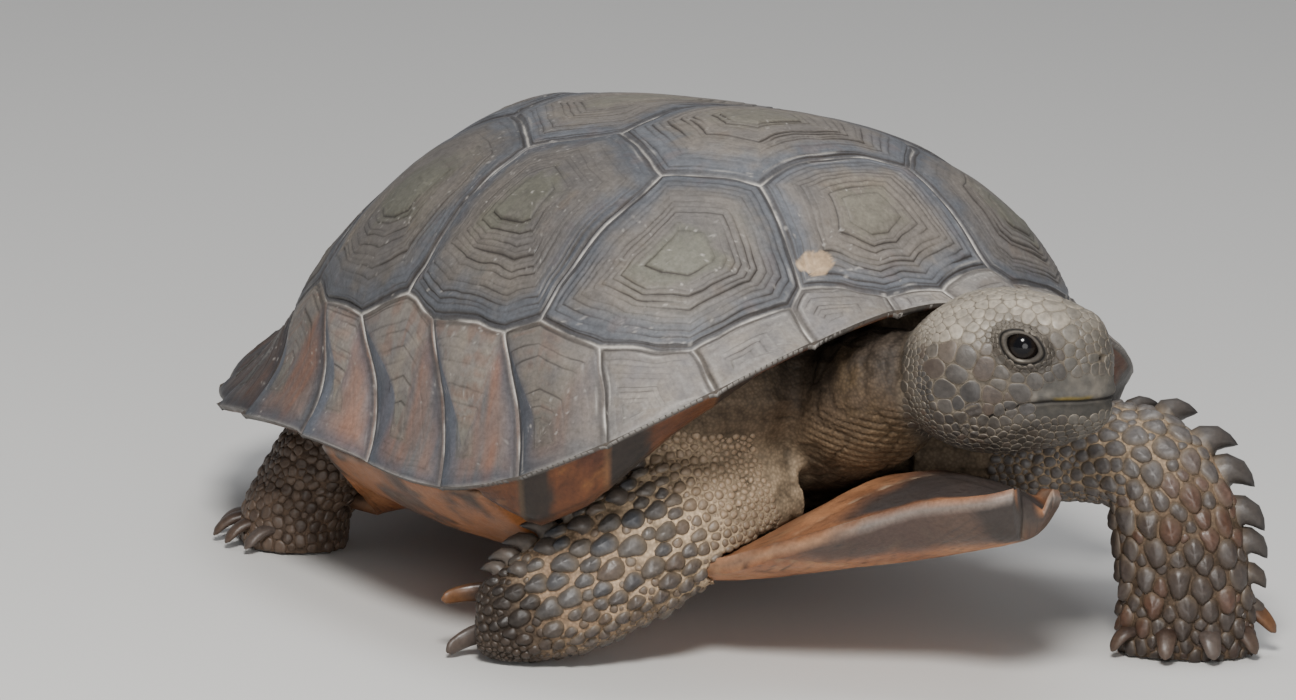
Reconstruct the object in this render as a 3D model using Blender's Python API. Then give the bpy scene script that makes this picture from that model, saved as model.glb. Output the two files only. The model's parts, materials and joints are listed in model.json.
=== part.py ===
# Gopher tortoise in mid-stride, life size. Metres, +X towards the head, +Y the animal's left,
# +Z up, floor at z = 0.
import bpy
import math
import numpy as np
from mathutils import Vector
from mathutils.bvhtree import BVHTree

# ---------------------------------------------------------------- driving dimensions
SIZE = 0.90                         # the lengths below times this give the animal's own size
ORIGIN_X = 0.005254                    # body origin, so that the bounding box is centred
ORIGIN_Y = 0.0
GAP = 0.0003 / SIZE                 # clearance between neighbouring solids

# carapace (own level frame, then pitched and lifted)
SHELL_FRONT = 0.1133                # middle to front rim, before the flare
SHELL_REAR = 0.1664
SHELL_HALF_W = 0.1034
SHELL_PLAN_N = (2.581, 0.236)       # plan roundness, front to rear
SHELL_TAPER = 0.0874
SHELL_H = 0.1334
APEX_X = -0.0453
DOME_M = (1.762, 0.0408, -0.2687, 0.0486)
DOME_FULL = (0.00256, 0.0140, -0.00152)
REAR_FULL = 0.0050
RIM_Z = (0.04526, 0.01865, 0.01515, 0.00674, 0.0030, -0.00305)
PLAN_R = (-0.02932, -0.03602, 0.00101, -0.01248)
FLARE = (0.01337, -0.00253, 0.00344)
FLARE_W = 0.2467
SHELL_PITCH = math.atan(0.0706)     # nose up
SHELL_LIFT = 0.02075
# shell thickness below each ring: (ring, thickness)
UNDER = ((1.0, 0.0022), (0.955, 0.0056), (0.905, 0.0074), (0.85, 0.0070), (0.76, 0.0058),
         (0.62, 0.0050), (0.45, 0.0050), (0.25, 0.0050))
# how far the marginals' lower side hangs below the rim, by angle from the front: deepest at the buttress
# where the bridge begins, and how far in from the rim two of the rings then lie
BUTTRESS = ((0, 0.0), (14, 0.0008), (20, 0.0016), (25, 0.0027), (32, 0.0050), (39, 0.0075), (46, 0.0122), (50, 0.0150),
            (57, 0.0150), (61, 0.0060), (64, 0.0), (180, 0.0))
BUTTRESS_IN = {0.955: 0.0060, 0.905: 0.0145}
OUTER = (0.0, 0.12, 0.26, 0.40, 0.52, 0.62, 0.71, 0.79, 0.86, 0.92, 0.965, 1.0)
CARAPACE_SEG = 56

# plastron, half outline from the gular fork to the anal notch: x, y, height of the edge
PLASTRON = ((0.1775, 0.0095, 0.0362), (0.173, 0.0150, 0.0345), (0.163, 0.0195, 0.0325), (0.150, 0.0250, 0.0300),
            (0.137, 0.0350, 0.0244), (0.124, 0.0435, 0.0190), (0.111, 0.0505, 0.0143), (0.098, 0.0560, 0.0095),
            (0.084, 0.0590, 0.0065), (0.070, 0.0615, 0.0060), (0.062, 0.0690, 0.0080), (0.056, 0.0880, 0.0180),
            (0.049, 0.1090, 0.0295), (0.020, 0.1130, 0.0310), (-0.015, 0.1105, 0.0325), (-0.043, 0.1045, 0.0330),
            (-0.053, 0.0890, 0.0230), (-0.060, 0.0700, 0.0080), (-0.072, 0.0610, 0.0050), (-0.090, 0.0590, 0.0050),
            (-0.112, 0.0540, 0.0080), (-0.131, 0.0420, 0.0115), (-0.142, 0.0270, 0.0140))
PLASTRON_KEEL = ((-0.15, 0.012), (-0.11, 0.006), (-0.06, 0.004), (-0.01, -0.001), (0.05, -0.003),
                 (0.085, -0.002), (0.108, 0.003), (0.124, 0.0062), (0.159, 0.0150), (0.18, 0.0215))
PLASTRON_T = 0.0050
# how far the inner face of the front lobe swells above its edges, along the body
SHELF = ((0.074, 0.0), (0.084, 0.0060), (0.098, 0.0150), (0.111, 0.0180), (0.124, 0.0160), (0.137, 0.0112),
         (0.150, 0.0060), (0.163, 0.0022), (0.173, 0.0))
GULAR_NOTCH = 0.0075
GULAR_DROOP = 0.0085                # the left horn is the lower, blunter one
ANAL_NOTCH = 0.012

# head: origin at the back of the skull on the head's axis
HEAD_AT = (0.1202, -0.0074, 0.0966)
HEAD_YAW = 33.4
HEAD_PITCH = 6.0
# x, half width, top, bottom, height of the widest line (mm)
HEAD_RINGS = ((-1.5, 9.0, 5.5, -10.0, -2.0), (1.5, 15.0, 10.5, -16.0, -2.0), (6.0, 19.0, 15.0, -20.5, -2.0),
              (12.0, 21.6, 19.2, -24.0, -2.5), (18.0, 22.6, 22.4, -26.0, -3.0), (24.0, 22.4, 23.6, -27.0, -3.5),
              (30.0, 21.2, 24.2, -27.0, -3.5), (36.0, 19.6, 24.0, -26.6, -2.5), (42.0, 18.0, 23.2, -26.0, -2.0),
              (48.0, 16.0, 21.8, -24.6, -2.0), (53.0, 13.8, 19.8, -23.0, -2.5), (58.0, 11.0, 17.4, -21.0, -3.0),
              (61.5, 8.4, 14.4, -18.6, -3.0), (64.0, 5.0, 9.0, -13.5, -3.0), (65.0, 2.0, 3.5, -8.0, -3.0))
EYE_AT = (41.0, 14.6, 9.0)          # mm in the head frame
EYE_R = 0.0062

# neck: centre, half height, half width
NECK = ((0.060, 0.000, 0.071, 0.0290, 0.0310), (0.082, -0.002, 0.076, 0.0260, 0.0290),
        (0.102, -0.006, 0.0835, 0.0225, 0.0245), (0.1150, -0.0075, 0.0905, 0.0180, 0.0205),
        (0.1245, -0.0060, 0.0940, 0.0140, 0.0160))

# limbs: centre, half width, half depth, width direction
W_NF = (-0.46, -0.29, 0.84)
LEG_FR = ((0.079, -0.024, 0.0560, 0.0180, 0.0140, W_NF), (0.0785, -0.044, 0.0500, 0.0205, 0.0150, W_NF),
          (0.0750, -0.063, 0.0410, 0.0215, 0.0145, W_NF), (0.0690, -0.079, 0.0305, 0.0208, 0.0138, W_NF),
          (0.0610, -0.0915, 0.0215, 0.0192, 0.0130, W_NF), (0.0530, -0.1015, 0.0150, 0.0160, 0.0118, W_NF),
          (0.0475, -0.1085, 0.0120, 0.0125, 0.0090, W_NF), (0.0450, -0.1115, 0.0115, 0.0080, 0.0055, W_NF))
W_FF = (0.62, 0.78, 0.05)
W_FF2 = (0.50, 0.866, 0.0)
LEG_FL = ((0.076, 0.034, 0.0560, 0.0150, 0.0160, (-0.5, 0.5, 0.7)), (0.095, 0.055, 0.0560, 0.0150, 0.0150, (-0.3, 0.5, 0.8)),
          (0.114, 0.072, 0.0600, 0.0160, 0.0145, (0.1, 0.75, 0.6)), (0.1300, 0.0820, 0.0590, 0.0180, 0.0145, (0.5, 0.78, 0.2)),
          (0.1385, 0.0860, 0.0490, 0.0195, 0.0145, W_FF), (0.1430, 0.0875, 0.0370, 0.0208, 0.0140, W_FF),
          (0.1450, 0.0890, 0.0230, 0.0210, 0.0142, W_FF), (0.1447, 0.0903, 0.0100, 0.0220, 0.0142, W_FF2),
          (0.1442, 0.0910, 0.0000, 0.0215, 0.0138, W_FF2), (0.1442, 0.0910, -0.0015, 0.0140, 0.0090, W_FF2))
W_RR = (0.55, 0.82, 0.0)
LEG_RR = ((-0.078, -0.040, 0.0560, 0.0200, 0.0200, W_RR), (-0.090, -0.052, 0.0440, 0.0190, 0.0190, W_RR),
          (-0.0985, -0.061, 0.0300, 0.0172, 0.0176, W_RR), (-0.1040, -0.0655, 0.0180, 0.0168, 0.0176, W_RR),
          (-0.1065, -0.0675, 0.0090, 0.0182, 0.0185, W_RR), (-0.1070, -0.0680, 0.0000, 0.0180, 0.0184, W_RR),
          (-0.1070, -0.0680, -0.0015, 0.0120, 0.0120, W_RR))
REAR_LEFT_SHIFT = 0.030             # the left hind foot has stepped forward

TAIL = ((-0.138, 0.0, 0.042, 0.0110), (-0.153, 0.001, 0.0345, 0.0095), (-0.164, 0.003, 0.0265, 0.0070),
        (-0.171, 0.005, 0.0205, 0.0045), (-0.1745, 0.006, 0.0170, 0.0016))

# claws: root, tip, half width, half thickness (mm), flat direction
CLAWS = {
    "claw_front_right_1": ((0.0415, -0.1045, 0.0200), (0.0352, -0.1178, 0.0180), 3.3, 2.5, (0.2, 0.1, 0.95)),
    "claw_front_right_2": ((0.0440, -0.1060, 0.0085), (0.0392, -0.1182, 0.0024), 3.5, 2.6, (0.2, 0.1, 0.95)),
    "claw_front_right_3": ((0.0400, -0.1015, 0.0140), (0.0310, -0.0965, 0.0085), 3.3, 2.4, (0.2, 0.1, 0.95)),
    "claw_front_right_4": ((0.0430, -0.1000, 0.0080), (0.0340, -0.0925, 0.0034), 3.3, 2.3, (0.5, 0.5, 0.6)),
    "claw_front_right_5": ((0.0500, -0.0955, 0.0060), (0.0430, -0.0855, 0.0030), 3.0, 2.1, (0.7, 0.6, 0.2)),
    "claw_front_left_1": ((0.1404, 0.0724, 0.0085), (0.1393, 0.0645, 0.0026), 3.2, 2.2, (0.95, 0.2, 0.0)),
    "claw_front_left_2": ((0.1490, 0.0784, 0.0095), (0.1563, 0.0720, 0.0027), 3.9, 2.4, (0.60, 0.80, 0.0)),
    "claw_front_left_3": ((0.1553, 0.0892, 0.0100), (0.1640, 0.0855, 0.0027), 4.3, 2.5, (0.50, 0.866, 0.0)),
    "claw_front_left_4": ((0.1560, 0.1000, 0.0105), (0.1650, 0.1025, 0.0027), 4.0, 2.4, (-0.1, 0.95, 0.2)),
    "claw_front_left_5": ((0.1532, 0.1056, 0.0165), (0.1615, 0.1135, 0.0075), 3.6, 2.5, (-0.4, 0.5, 0.7)),
    "claw_rear_right_1": ((-0.0995, -0.0800, 0.0080), (-0.1000, -0.0925, 0.0025), 3.0, 2.1, (0.98, 0.1, 0.0)),
    "claw_rear_right_2": ((-0.1075, -0.0815, 0.0085), (-0.1100, -0.0930, 0.0025), 3.1, 2.2, (0.97, -0.2, 0.0)),
    "claw_rear_right_3": ((-0.1155, -0.0795, 0.0085), (-0.1205, -0.0900, 0.0025), 3.1, 2.2, (0.9, -0.4, 0.0)),
    "claw_rear_right_4": ((-0.1215, -0.0745, 0.0080), (-0.1285, -0.0820, 0.0025), 2.9, 2.1, (0.75, -0.65, 0.0)),
}


# ---------------------------------------------------------------- clear the scene
for ob in list(bpy.data.objects):
    bpy.data.objects.remove(ob, do_unlink=True)

tortoise = bpy.data.collections.new("tortoise")
bpy.context.scene.collection.children.link(tortoise)
cutters = bpy.data.collections.new("cutters")
bpy.context.scene.collection.children.link(cutters)


# ---------------------------------------------------------------- helpers
def unit(v):
    v = np.asarray(v, float)
    return v / (np.linalg.norm(v, axis=-1, keepdims=True) + 1e-12)


def make(name, verts, faces, coll=tortoise):
    faces = [(f[0], f[k], f[k + 1]) for f in faces for k in range(1, len(f) - 1)]
    me = bpy.data.meshes.new(name)
    me.from_pydata([(float(a) * SIZE + ORIGIN_X, float(b) * SIZE + ORIGIN_Y, float(c) * SIZE)
                    for a, b, c in verts], [],
                   [tuple(int(i) for i in f) for f in faces])
    me.validate()
    me.update()
    ob = bpy.data.objects.new(name, me)
    coll.objects.link(ob)
    if coll is cutters:
        ob.hide_render = True
        ob.display_type = 'WIRE'
    return ob


def ring_solid(rings, pole_a=None, pole_b=None):
    """Closed solid through rings of equal size, each end shut by a pole or by the ring's middle."""
    rings = [np.asarray(r, float) for r in rings]
    n = len(rings[0])
    verts = np.concatenate(rings)
    faces = []
    for k in range(len(rings) - 1):
        a, b = k * n, (k + 1) * n
        for i in range(n):
            j = (i + 1) % n
            faces.append((a + i, a + j, b + j, b + i))
    pa = np.mean(rings[0], 0) if pole_a is None else np.asarray(pole_a, float)
    pb = np.mean(rings[-1], 0) if pole_b is None else np.asarray(pole_b, float)
    ia = len(verts)
    verts = np.concatenate([verts, [pa, pb]])
    last = (len(rings) - 1) * n
    for i in range(n):
        j = (i + 1) % n
        faces.append((ia, j, i))
        faces.append((ia + 1, last + i, last + j))
    return verts, faces


def outward(verts, faces):
    """Turn the faces so that the solid's volume is positive."""
    vol = 0.0
    for f in faces:
        for k in range(1, len(f) - 1):
            a, b, c = verts[f[0]], verts[f[k]], verts[f[k + 1]]
            vol += np.dot(a, np.cross(b, c))
    if vol < 0:
        faces = [tuple(reversed(f)) for f in faces]
    return verts, faces


def inflate(verts, faces, d):
    """Move every face outwards by at least d."""
    acc = [[] for _ in verts]
    for f in faces:
        n = np.zeros(3)
        for k in range(1, len(f) - 1):
            n = n + np.cross(verts[f[k]] - verts[f[0]], verts[f[k + 1]] - verts[f[0]])
        ln = np.linalg.norm(n)
        if ln > 1e-12:
            for k in f:
                acc[k].append(n / ln)
    out = np.array(verts, float)
    for i, a in enumerate(acc):
        if a:
            m = unit(np.sum(a, 0))
            out[i] += m * d / max(0.4, min(float(np.dot(m, q)) for q in a))
    return out


def spline(points, per):
    """Catmull-Rom through the points, per steps between neighbours."""
    p = np.asarray(points, float)
    q = np.concatenate([[2 * p[0] - p[1]], p, [2 * p[-1] - p[-2]]])
    out = []
    for k in range(len(p) - 1):
        a, b, c, d = q[k], q[k + 1], q[k + 2], q[k + 3]
        for i in range(per):
            t = i / per
            out.append(0.5 * ((2 * b) + (c - a) * t + (2 * a - 5 * b + 4 * c - d) * t * t
                              + (3 * b - a - 3 * c + d) * t ** 3))
    out.append(p[-1])
    return np.array(out)


def to_world(p):
    p = np.asarray(p, float)
    c, s = math.cos(SHELL_PITCH), math.sin(SHELL_PITCH)
    return np.stack([p[..., 0] * c - p[..., 2] * s, p[..., 1], p[..., 2] * c + p[..., 0] * s + SHELL_LIFT], -1)


# ---------------------------------------------------------------- carapace surface
def dome(phi, rho):
    """Outer surface of the carapace in its own level frame. phi 0 is the front, +90 the left."""
    phi = np.asarray(phi, float)
    rho = np.clip(np.asarray(rho, float), 1e-4, 1)
    c, s = np.cos(phi), np.sin(phi)
    c2, c3, c4, c5 = np.cos(2 * phi), np.cos(3 * phi), np.cos(4 * phi), np.cos(5 * phi)
    n = SHELL_PLAN_N[0] + SHELL_PLAN_N[1] * c
    d = (np.abs(c) ** n + np.abs(s) ** n) ** (-1 / n)
    rx, ry = c * d, s * d
    xr = np.where(rx > 0, SHELL_FRONT, SHELL_REAR) * rx
    yr = SHELL_HALF_W * ry * (1 + SHELL_TAPER * rx)
    zr = RIM_Z[0] + RIM_Z[1] * c + RIM_Z[2] * c2 + RIM_Z[3] * c3 + RIM_Z[4] * c4 + RIM_Z[5] * c5
    k = 1 + PLAN_R[0] * (c2 - 1) + PLAN_R[1] * (c3 - c) + PLAN_R[2] * (c4 - 1) + PLAN_R[3] * (c5 - c)
    xr, yr = xr * k, yr * k
    g = np.sin(rho * math.pi / 2)
    m = np.clip(DOME_M[0] + DOME_M[1] * c + DOME_M[2] * c2 + DOME_M[3] * c3, 1.7, 4)
    h = np.clip(1 - g ** m, 0, 1) ** (1 / m)
    full = DOME_FULL[0] + DOME_FULL[1] * c + DOME_FULL[2] * c2 + REAR_FULL * np.clip(-c, 0, 1) ** 6
    x = APEX_X * (1 - g) + xr * g
    y = yr * g
    z = zr + (SHELL_H - zr) * h + 4 * g * g * (1 - g * g) * full
    f = (FLARE[0] + FLARE[1] * c + FLARE[2] * c2) * np.clip(1 - h / FLARE_W, 0, 1) ** 2
    return np.stack([x + f * c, y + f * s, z], -1)


def dome_normal(phi, rho):
    rho = np.clip(np.asarray(rho, float), 0.02, 0.985)
    e = 0.01
    a = dome(phi + e, rho) - dome(phi - e, rho)
    b = dome(phi, rho + e) - dome(phi, rho - e)
    nrm = unit(np.cross(b, a))
    return np.where(nrm[..., 2:3] < -0.2, -nrm, nrm)


PHI = np.linspace(0, 2 * math.pi, CARAPACE_SEG, endpoint=False)
rings = [dome(PHI, np.full_like(PHI, r)) for r in OUTER[1:]]
edge_drop = np.interp(np.degrees(np.abs(np.angle(np.exp(1j * PHI)))), [b[0] for b in BUTTRESS], [b[1] for b in BUTTRESS])
hold = np.clip(edge_drop / 0.004, 0, 1)[:, None]
rim_line = dome(PHI, np.full_like(PHI, 1.0))
inward = -np.stack([np.cos(PHI), np.sin(PHI), 0 * PHI], -1)
for r, t in UNDER:
    rr = np.full_like(PHI, r)
    p = dome(PHI, rr) - dome_normal(PHI, rr) * t
    if r in BUTTRESS_IN:
        low_line = rim_line + inward * BUTTRESS_IN[r]
        low_line[:, 2] -= edge_drop
        p = p * (1 - hold) + low_line * hold
    rings.append(p)
top = dome(np.array([0.0]), np.array([0.0]))[0]
cv, cf = ring_solid([to_world(r) for r in rings], to_world(top), to_world(top - np.array([0, 0, 0.005])))
cv, cf = outward(cv, cf)
carapace = make("carapace", cv, cf)
under = BVHTree.FromPolygons([Vector(v) for v in cv], cf)


def first_hit(tree, x, y, z, up):
    hit = tree.ray_cast(Vector((x, y, z)), Vector((0, 0, 1 if up else -1)))
    return None if hit[0] is None else hit[0].z


# ---------------------------------------------------------------- plastron
edge = np.array(PLASTRON)
keel = np.array(PLASTRON_KEEL)
SIDE = np.array([-1, -0.93, -0.82, -0.66, -0.48, -0.25, 0, 0.25, 0.48, 0.66, 0.82, 0.93, 1.0])
low, high = [], []
for i, (x, y, ze) in enumerate(edge):
    front = np.clip((x - 0.09) / 0.06, 0, 1)
    notch = GULAR_NOTCH * np.clip((x - 0.158) / 0.019, 0, 1) ** 1.5
    anal = ANAL_NOTCH * np.clip((-0.125 - x) / 0.018, 0, 1) ** 1.5
    xs = x - notch * (1 - np.abs(SIDE)) ** 0.8 + anal * (1 - SIDE ** 2)
    xs = xs - 0.6 * notch * np.clip(SIDE, 0, 1)
    droop = GULAR_DROOP * np.clip((x - 0.128) / 0.05, 0, 1) ** 1.3 * np.clip(SIDE + 0.25, 0, 1)
    zb = np.interp(xs, keel[:, 0], keel[:, 1])
    p = 4.0 - 1.6 * front
    bridge = np.clip((abs(y) - 0.075) / 0.03, 0, 1)
    thick = PLASTRON_T - 0.0012 * bridge
    zl = zb + (ze - thick - zb) * np.abs(SIDE) ** p - 0.35 * droop * np.abs(SIDE)
    zt = zl + thick
    # the gular region is thick: its upper face stays near the level of its edges
    zt = np.maximum(zt, zl + front * np.clip(ze - 0.002 - droop - zl, 0, 1) * (1 - 0.2 * (1 - SIDE ** 2)))
    if x > 0.078:
        rise = np.interp(x, [q[0] for q in SHELF], [q[1] for q in SHELF])
        zt = np.maximum(zt, ze - 0.0010 - droop + rise * (1 - np.abs(SIDE) ** 1.7))
    pl = to_world(np.stack([xs, SIDE * y, zl], -1))
    ph = to_world(np.stack([xs, SIDE * y, zt], -1))
    for j in range(len(SIDE)):
        z = first_hit(under, ph[j, 0], ph[j, 1], 0.0, True)
        if z is not None and ph[j, 2] > z - 0.0006:
            ph[j, 2] = z - 0.0006
            pl[j, 2] = min(pl[j, 2], ph[j, 2] - 0.0028)
    if bridge > 0.8:
        for j in (0, len(SIDE) - 1):
            z = first_hit(under, ph[j, 0], ph[j, 1], 0.0, True)
            if z is not None:
                ph[j, 2] = z - 0.0006
    low.append(pl)
    high.append(ph)
rings = []
for a, b in zip(low, high):
    rings.append(np.concatenate([a, b[::-1]]))
pv, pf = ring_solid(rings)
n = len(rings[0])
pf = [f for f in pf if max(f) < n * len(rings)]
pv = pv[:n * len(rings)]
m = len(SIDE)
for base, flip in ((0, False), ((len(rings) - 1) * n, True)):
    for j in range(m - 1):
        q = (base + j, base + j + 1, base + n - 2 - j, base + n - 1 - j)
        pf.append(q if flip else tuple(reversed(q)))
pv, pf = outward(pv, pf)
plastron = make("plastron", pv, pf)
plastron_cut = make("plastron_cut", inflate(pv, pf, GAP), pf, cutters)
floor_tree = BVHTree.FromPolygons([Vector(v) for v in pv], pf)


# ---------------------------------------------------------------- trunk
TR_SEG = 36
TR_T = (0.0, 0.3, 0.52, 0.70, 0.84, 0.94, 1.0)
TR_RING = 0.74                      # the body's side follows this ring of the carapace,
TR_ARMPIT = 0.16                    # drawn in by this much behind the fore limbs
TR_FRONT = 0.100


def trunk_mesh():
    ph = np.linspace(0, 2 * math.pi, TR_SEG, endpoint=False)
    c = np.cos(ph)
    side = np.degrees(np.abs(np.angle(np.exp(1j * ph))))
    o = dome(ph, TR_RING - TR_ARMPIT * np.exp(-((side - 48) / 20) ** 2))
    ox = np.minimum(o[:, 0], TR_FRONT)
    oy = o[:, 1]
    zm = 0.050 + 0.006 * c
    tops, bots = [], []
    for t in TR_T:
        x = -0.016 + (ox + 0.016) * t
        y = oy * t
        w = (1 - t ** 3.0) ** (1 / 2.2) if t < 1 else 0.0
        base = to_world(np.stack([x, y, zm], -1))
        tp, bt = base.copy(), base.copy()
        for i in range(TR_SEG):
            zc = first_hit(under, base[i, 0], base[i, 1], base[i, 2], True)
            zc = base[i, 2] + 0.03 if zc is None else zc - 0.0030
            zf = first_hit(floor_tree, base[i, 0], base[i, 1], base[i, 2], False)
            zf = 0.0310 if zf is None else zf + 0.0012
            tp[i, 2] += (zc - base[i, 2]) * w
            bt[i, 2] += (zf - base[i, 2]) * w
        tops.append(tp)
        bots.append(bt)
    rings = tops[1:] + bots[1:-1][::-1]
    return outward(*ring_solid(rings, tops[0][0], bots[0][0]))


tv, tf = trunk_mesh()
trunk = make("trunk", tv, tf)
trunk_cut = make("trunk_cut", inflate(tv, tf, GAP), tf, cutters)


# ---------------------------------------------------------------- limbs, neck, tail
def limb(stations, seg, per, grow=0.0, sole=True, power=2.3):
    c = spline([s[:3] for s in stations], per)
    ab = spline([s[3:5] for s in stations], per)
    w = unit(spline([s[5] for s in stations], per))
    tan = unit(np.gradient(c, axis=0))
    w = unit(w - tan * np.sum(w * tan, -1, keepdims=True))
    dpt = np.cross(tan, w)
    th = np.linspace(0, 2 * math.pi, seg, endpoint=False)
    ct, st = np.cos(th), np.sin(th)
    k = (np.abs(ct) ** power + np.abs(st) ** power) ** (-1 / power)
    rings = []
    for i in range(len(c)):
        r = c[i] + w[i] * ((ab[i, 0] + grow) * ct * k)[:, None] + dpt[i] * ((ab[i, 1] + grow) * st * k)[:, None]
        rings.append(r)
    v, f = ring_solid(rings)
    if sole:
        v[:, 2] = np.maximum(v[:, 2], 0.0 if grow == 0 else -grow)
    return outward(v, f)


def cut(ob, cutter, op='DIFFERENCE'):
    mod = ob.modifiers.new("cut_" + cutter.name, 'BOOLEAN')
    mod.operation = op
    mod.object = cutter
    mod.solver = 'EXACT'
    mod.use_self = True
    return mod


def mirror_leg(stations, dx):
    out = []
    n = len(stations)
    for i, s in enumerate(stations):
        k = min(1.0, i / (n * 0.6))
        out.append((s[0] + dx * k, -s[1] - 0.006 * k, s[2], s[3], s[4], (s[5][0], -s[5][1], s[5][2])))
    return tuple(out)


LEG_RL = mirror_leg(LEG_RR, REAR_LEFT_SHIFT)
LEGS = {"leg_front_right": LEG_FR, "leg_front_left": LEG_FL, "leg_rear_right": LEG_RR, "leg_rear_left": LEG_RL}
leg_objects, leg_cutters = {}, {}
for nm, st in LEGS.items():
    ob = make(nm, *limb(st, 14, 2))
    cut(ob, trunk_cut)
    if nm != "leg_front_left":
        cut(ob, plastron_cut)
    leg_objects[nm] = ob
    leg_cutters[nm] = make(nm + "_cut", *limb(st, 14, 2, GAP), coll=cutters)

UPV = (0.0, 0.0, 1.0)
neck_stations = tuple((x, y, z, a, b, UPV) for x, y, z, a, b in NECK)
neck = make("neck", *limb(neck_stations, 18, 2, 0.0, False, 2.1))
cut(neck, trunk_cut)
cut(neck, leg_cutters["leg_front_right"])
cut(neck, leg_cutters["leg_front_left"])
tail_stations = tuple((x, y, z, r, r * 1.08, (0.3, 0.0, 0.95)) for x, y, z, r in TAIL)
tail = make("tail", *limb(tail_stations, 12, 1, 0.0, False, 2.0))
cut(tail, trunk_cut)

# ---------------------------------------------------------------- head and eyes
yaw, pit = math.radians(HEAD_YAW), math.radians(HEAD_PITCH)
HX = np.array([math.cos(yaw) * math.cos(pit), math.sin(yaw) * math.cos(pit), math.sin(pit)])
HY = np.array([-math.sin(yaw), math.cos(yaw), 0.0])
HZ = np.cross(HX, HY)


def head_point(p):
    p = np.asarray(p, float) * 0.001
    return np.array(HEAD_AT) + p[..., 0:1] * HX + p[..., 1:2] * HY + p[..., 2:3] * HZ


def head_mesh(seg, grow):
    th = np.linspace(0, 2 * math.pi, seg, endpoint=False)
    ct, st = np.cos(th), np.sin(th)
    rings = []
    for x, hw, zt, zb, zm in HEAD_RINGS:
        up = st > 0
        pw = np.where(up, 2.25, 2.0)
        k = (np.abs(ct) ** pw + np.abs(st) ** pw) ** (-1 / pw)
        y = (hw + grow) * ct * k
        z = zm + np.where(up, (zt - zm + grow), (zm - zb + grow)) * st * k
        rings.append(head_point(np.stack([np.full_like(y, x), y, z], -1)))
    ends = (head_point(np.array([HEAD_RINGS[0][0] - 0.6 - grow, 0, 0.0])),
            head_point(np.array([HEAD_RINGS[-1][0] + 0.4 + grow, 0, -2.5])))
    return outward(*ring_solid(rings, *ends))


head = make("head", *head_mesh(24, 0.0))
head_cut = make("head_cut", *head_mesh(24, GAP * 1000), coll=cutters)
cut(neck, head_cut)


def ball(name, centre, r, seg, coll):
    rings = []
    for k in range(1, seg // 2):
        a = math.pi * k / (seg // 2)
        th = np.linspace(0, 2 * math.pi, seg, endpoint=False)
        rings.append(np.stack([centre[0] + r * math.sin(a) * np.cos(th), centre[1] + r * math.sin(a) * np.sin(th),
                               np.full(seg, centre[2] + r * math.cos(a))], -1))
    v, f = ring_solid(rings, centre + np.array([0, 0, r]), centre - np.array([0, 0, r]))
    return make(name, *outward(v, f), coll=coll)


for nm, sy in (("eye_right", -1), ("eye_left", 1)):
    ctr = head_point(np.array([EYE_AT[0], sy * EYE_AT[1], EYE_AT[2]]))
    ball(nm, ctr, EYE_R, 12, tortoise)
    cut(head, ball(nm + "_cut", ctr, EYE_R + GAP * 1.8, 12, cutters))


# ---------------------------------------------------------------- claws
def claw(name, root, tip, hw, ht, flat, leg):
    root, tip = np.array(root), np.array(tip)
    ax = tip - root
    w = np.array(flat, float)
    w = unit(w - ax * np.dot(w, ax) / np.dot(ax, ax))
    up = np.cross(unit(ax), w)
    if up[2] < 0:
        up = -up
    th = np.linspace(0, 2 * math.pi, 7, endpoint=False)
    rings = []
    for t, s in ((0.0, 0.95), (0.35, 1.0), (0.7, 0.72), (0.93, 0.36)):
        c = root + ax * t + up * 0.0016 * math.sin(math.pi * t)
        rings.append(c + w * (hw * 0.001 * s * np.cos(th))[:, None] + up * (ht * 0.001 * s * np.sin(th))[:, None])
    v, f = ring_solid(rings, None, tip)
    ob = make(name, *outward(v, f))
    cut(ob, leg_cutters[leg])
    return ob


claws = dict(CLAWS)
for k in range(1, 5):
    r, t, hw, ht, fl = CLAWS["claw_rear_right_%d" % k]
    claws["claw_rear_left_%d" % k] = ((r[0] + REAR_LEFT_SHIFT, -r[1] - 0.006, r[2]),
                                      (t[0] + REAR_LEFT_SHIFT, -t[1] - 0.006, t[2]), hw, ht, (fl[0], -fl[1], fl[2]))
for nm, (r, t, hw, ht, fl) in claws.items():
    claw(nm, r, t, hw, ht, fl, "leg_" + nm[5:-2])


# ---------------------------------------------------------------- materials
def material(name, rgb, rough):
    mat = bpy.data.materials.new(name)
    mat.use_nodes = True
    b = mat.node_tree.nodes["Principled BSDF"]
    b.inputs["Base Color"].default_value = (*rgb, 1.0)
    b.inputs["Roughness"].default_value = rough
    return mat


SLOTS = {"carapace": ((0.115, 0.100, 0.085), 0.5), "plastron": ((0.32, 0.15, 0.06), 0.45),
         "trunk": ((0.14, 0.11, 0.075), 0.8), "neck": ((0.14, 0.115, 0.085), 0.8),
         "head": ((0.13, 0.115, 0.10), 0.65), "tail": ((0.08, 0.065, 0.05), 0.8),
         "leg": ((0.10, 0.080, 0.058), 0.75), "eye": ((0.012, 0.012, 0.014), 0.08),
         "claw": ((0.14, 0.075, 0.03), 0.45)}
for ob in tortoise.objects:
    key = ob.name if ob.name in SLOTS else ob.name.split("_")[0]
    rgb, rough = SLOTS[key]
    ob.data.materials.clear()
    ob.data.materials.append(material(ob.name, rgb, rough))
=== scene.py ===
import json
import math
import bpy
import bmesh
import numpy as np
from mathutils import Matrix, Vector
from mathutils.bvhtree import BVHTree

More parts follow.
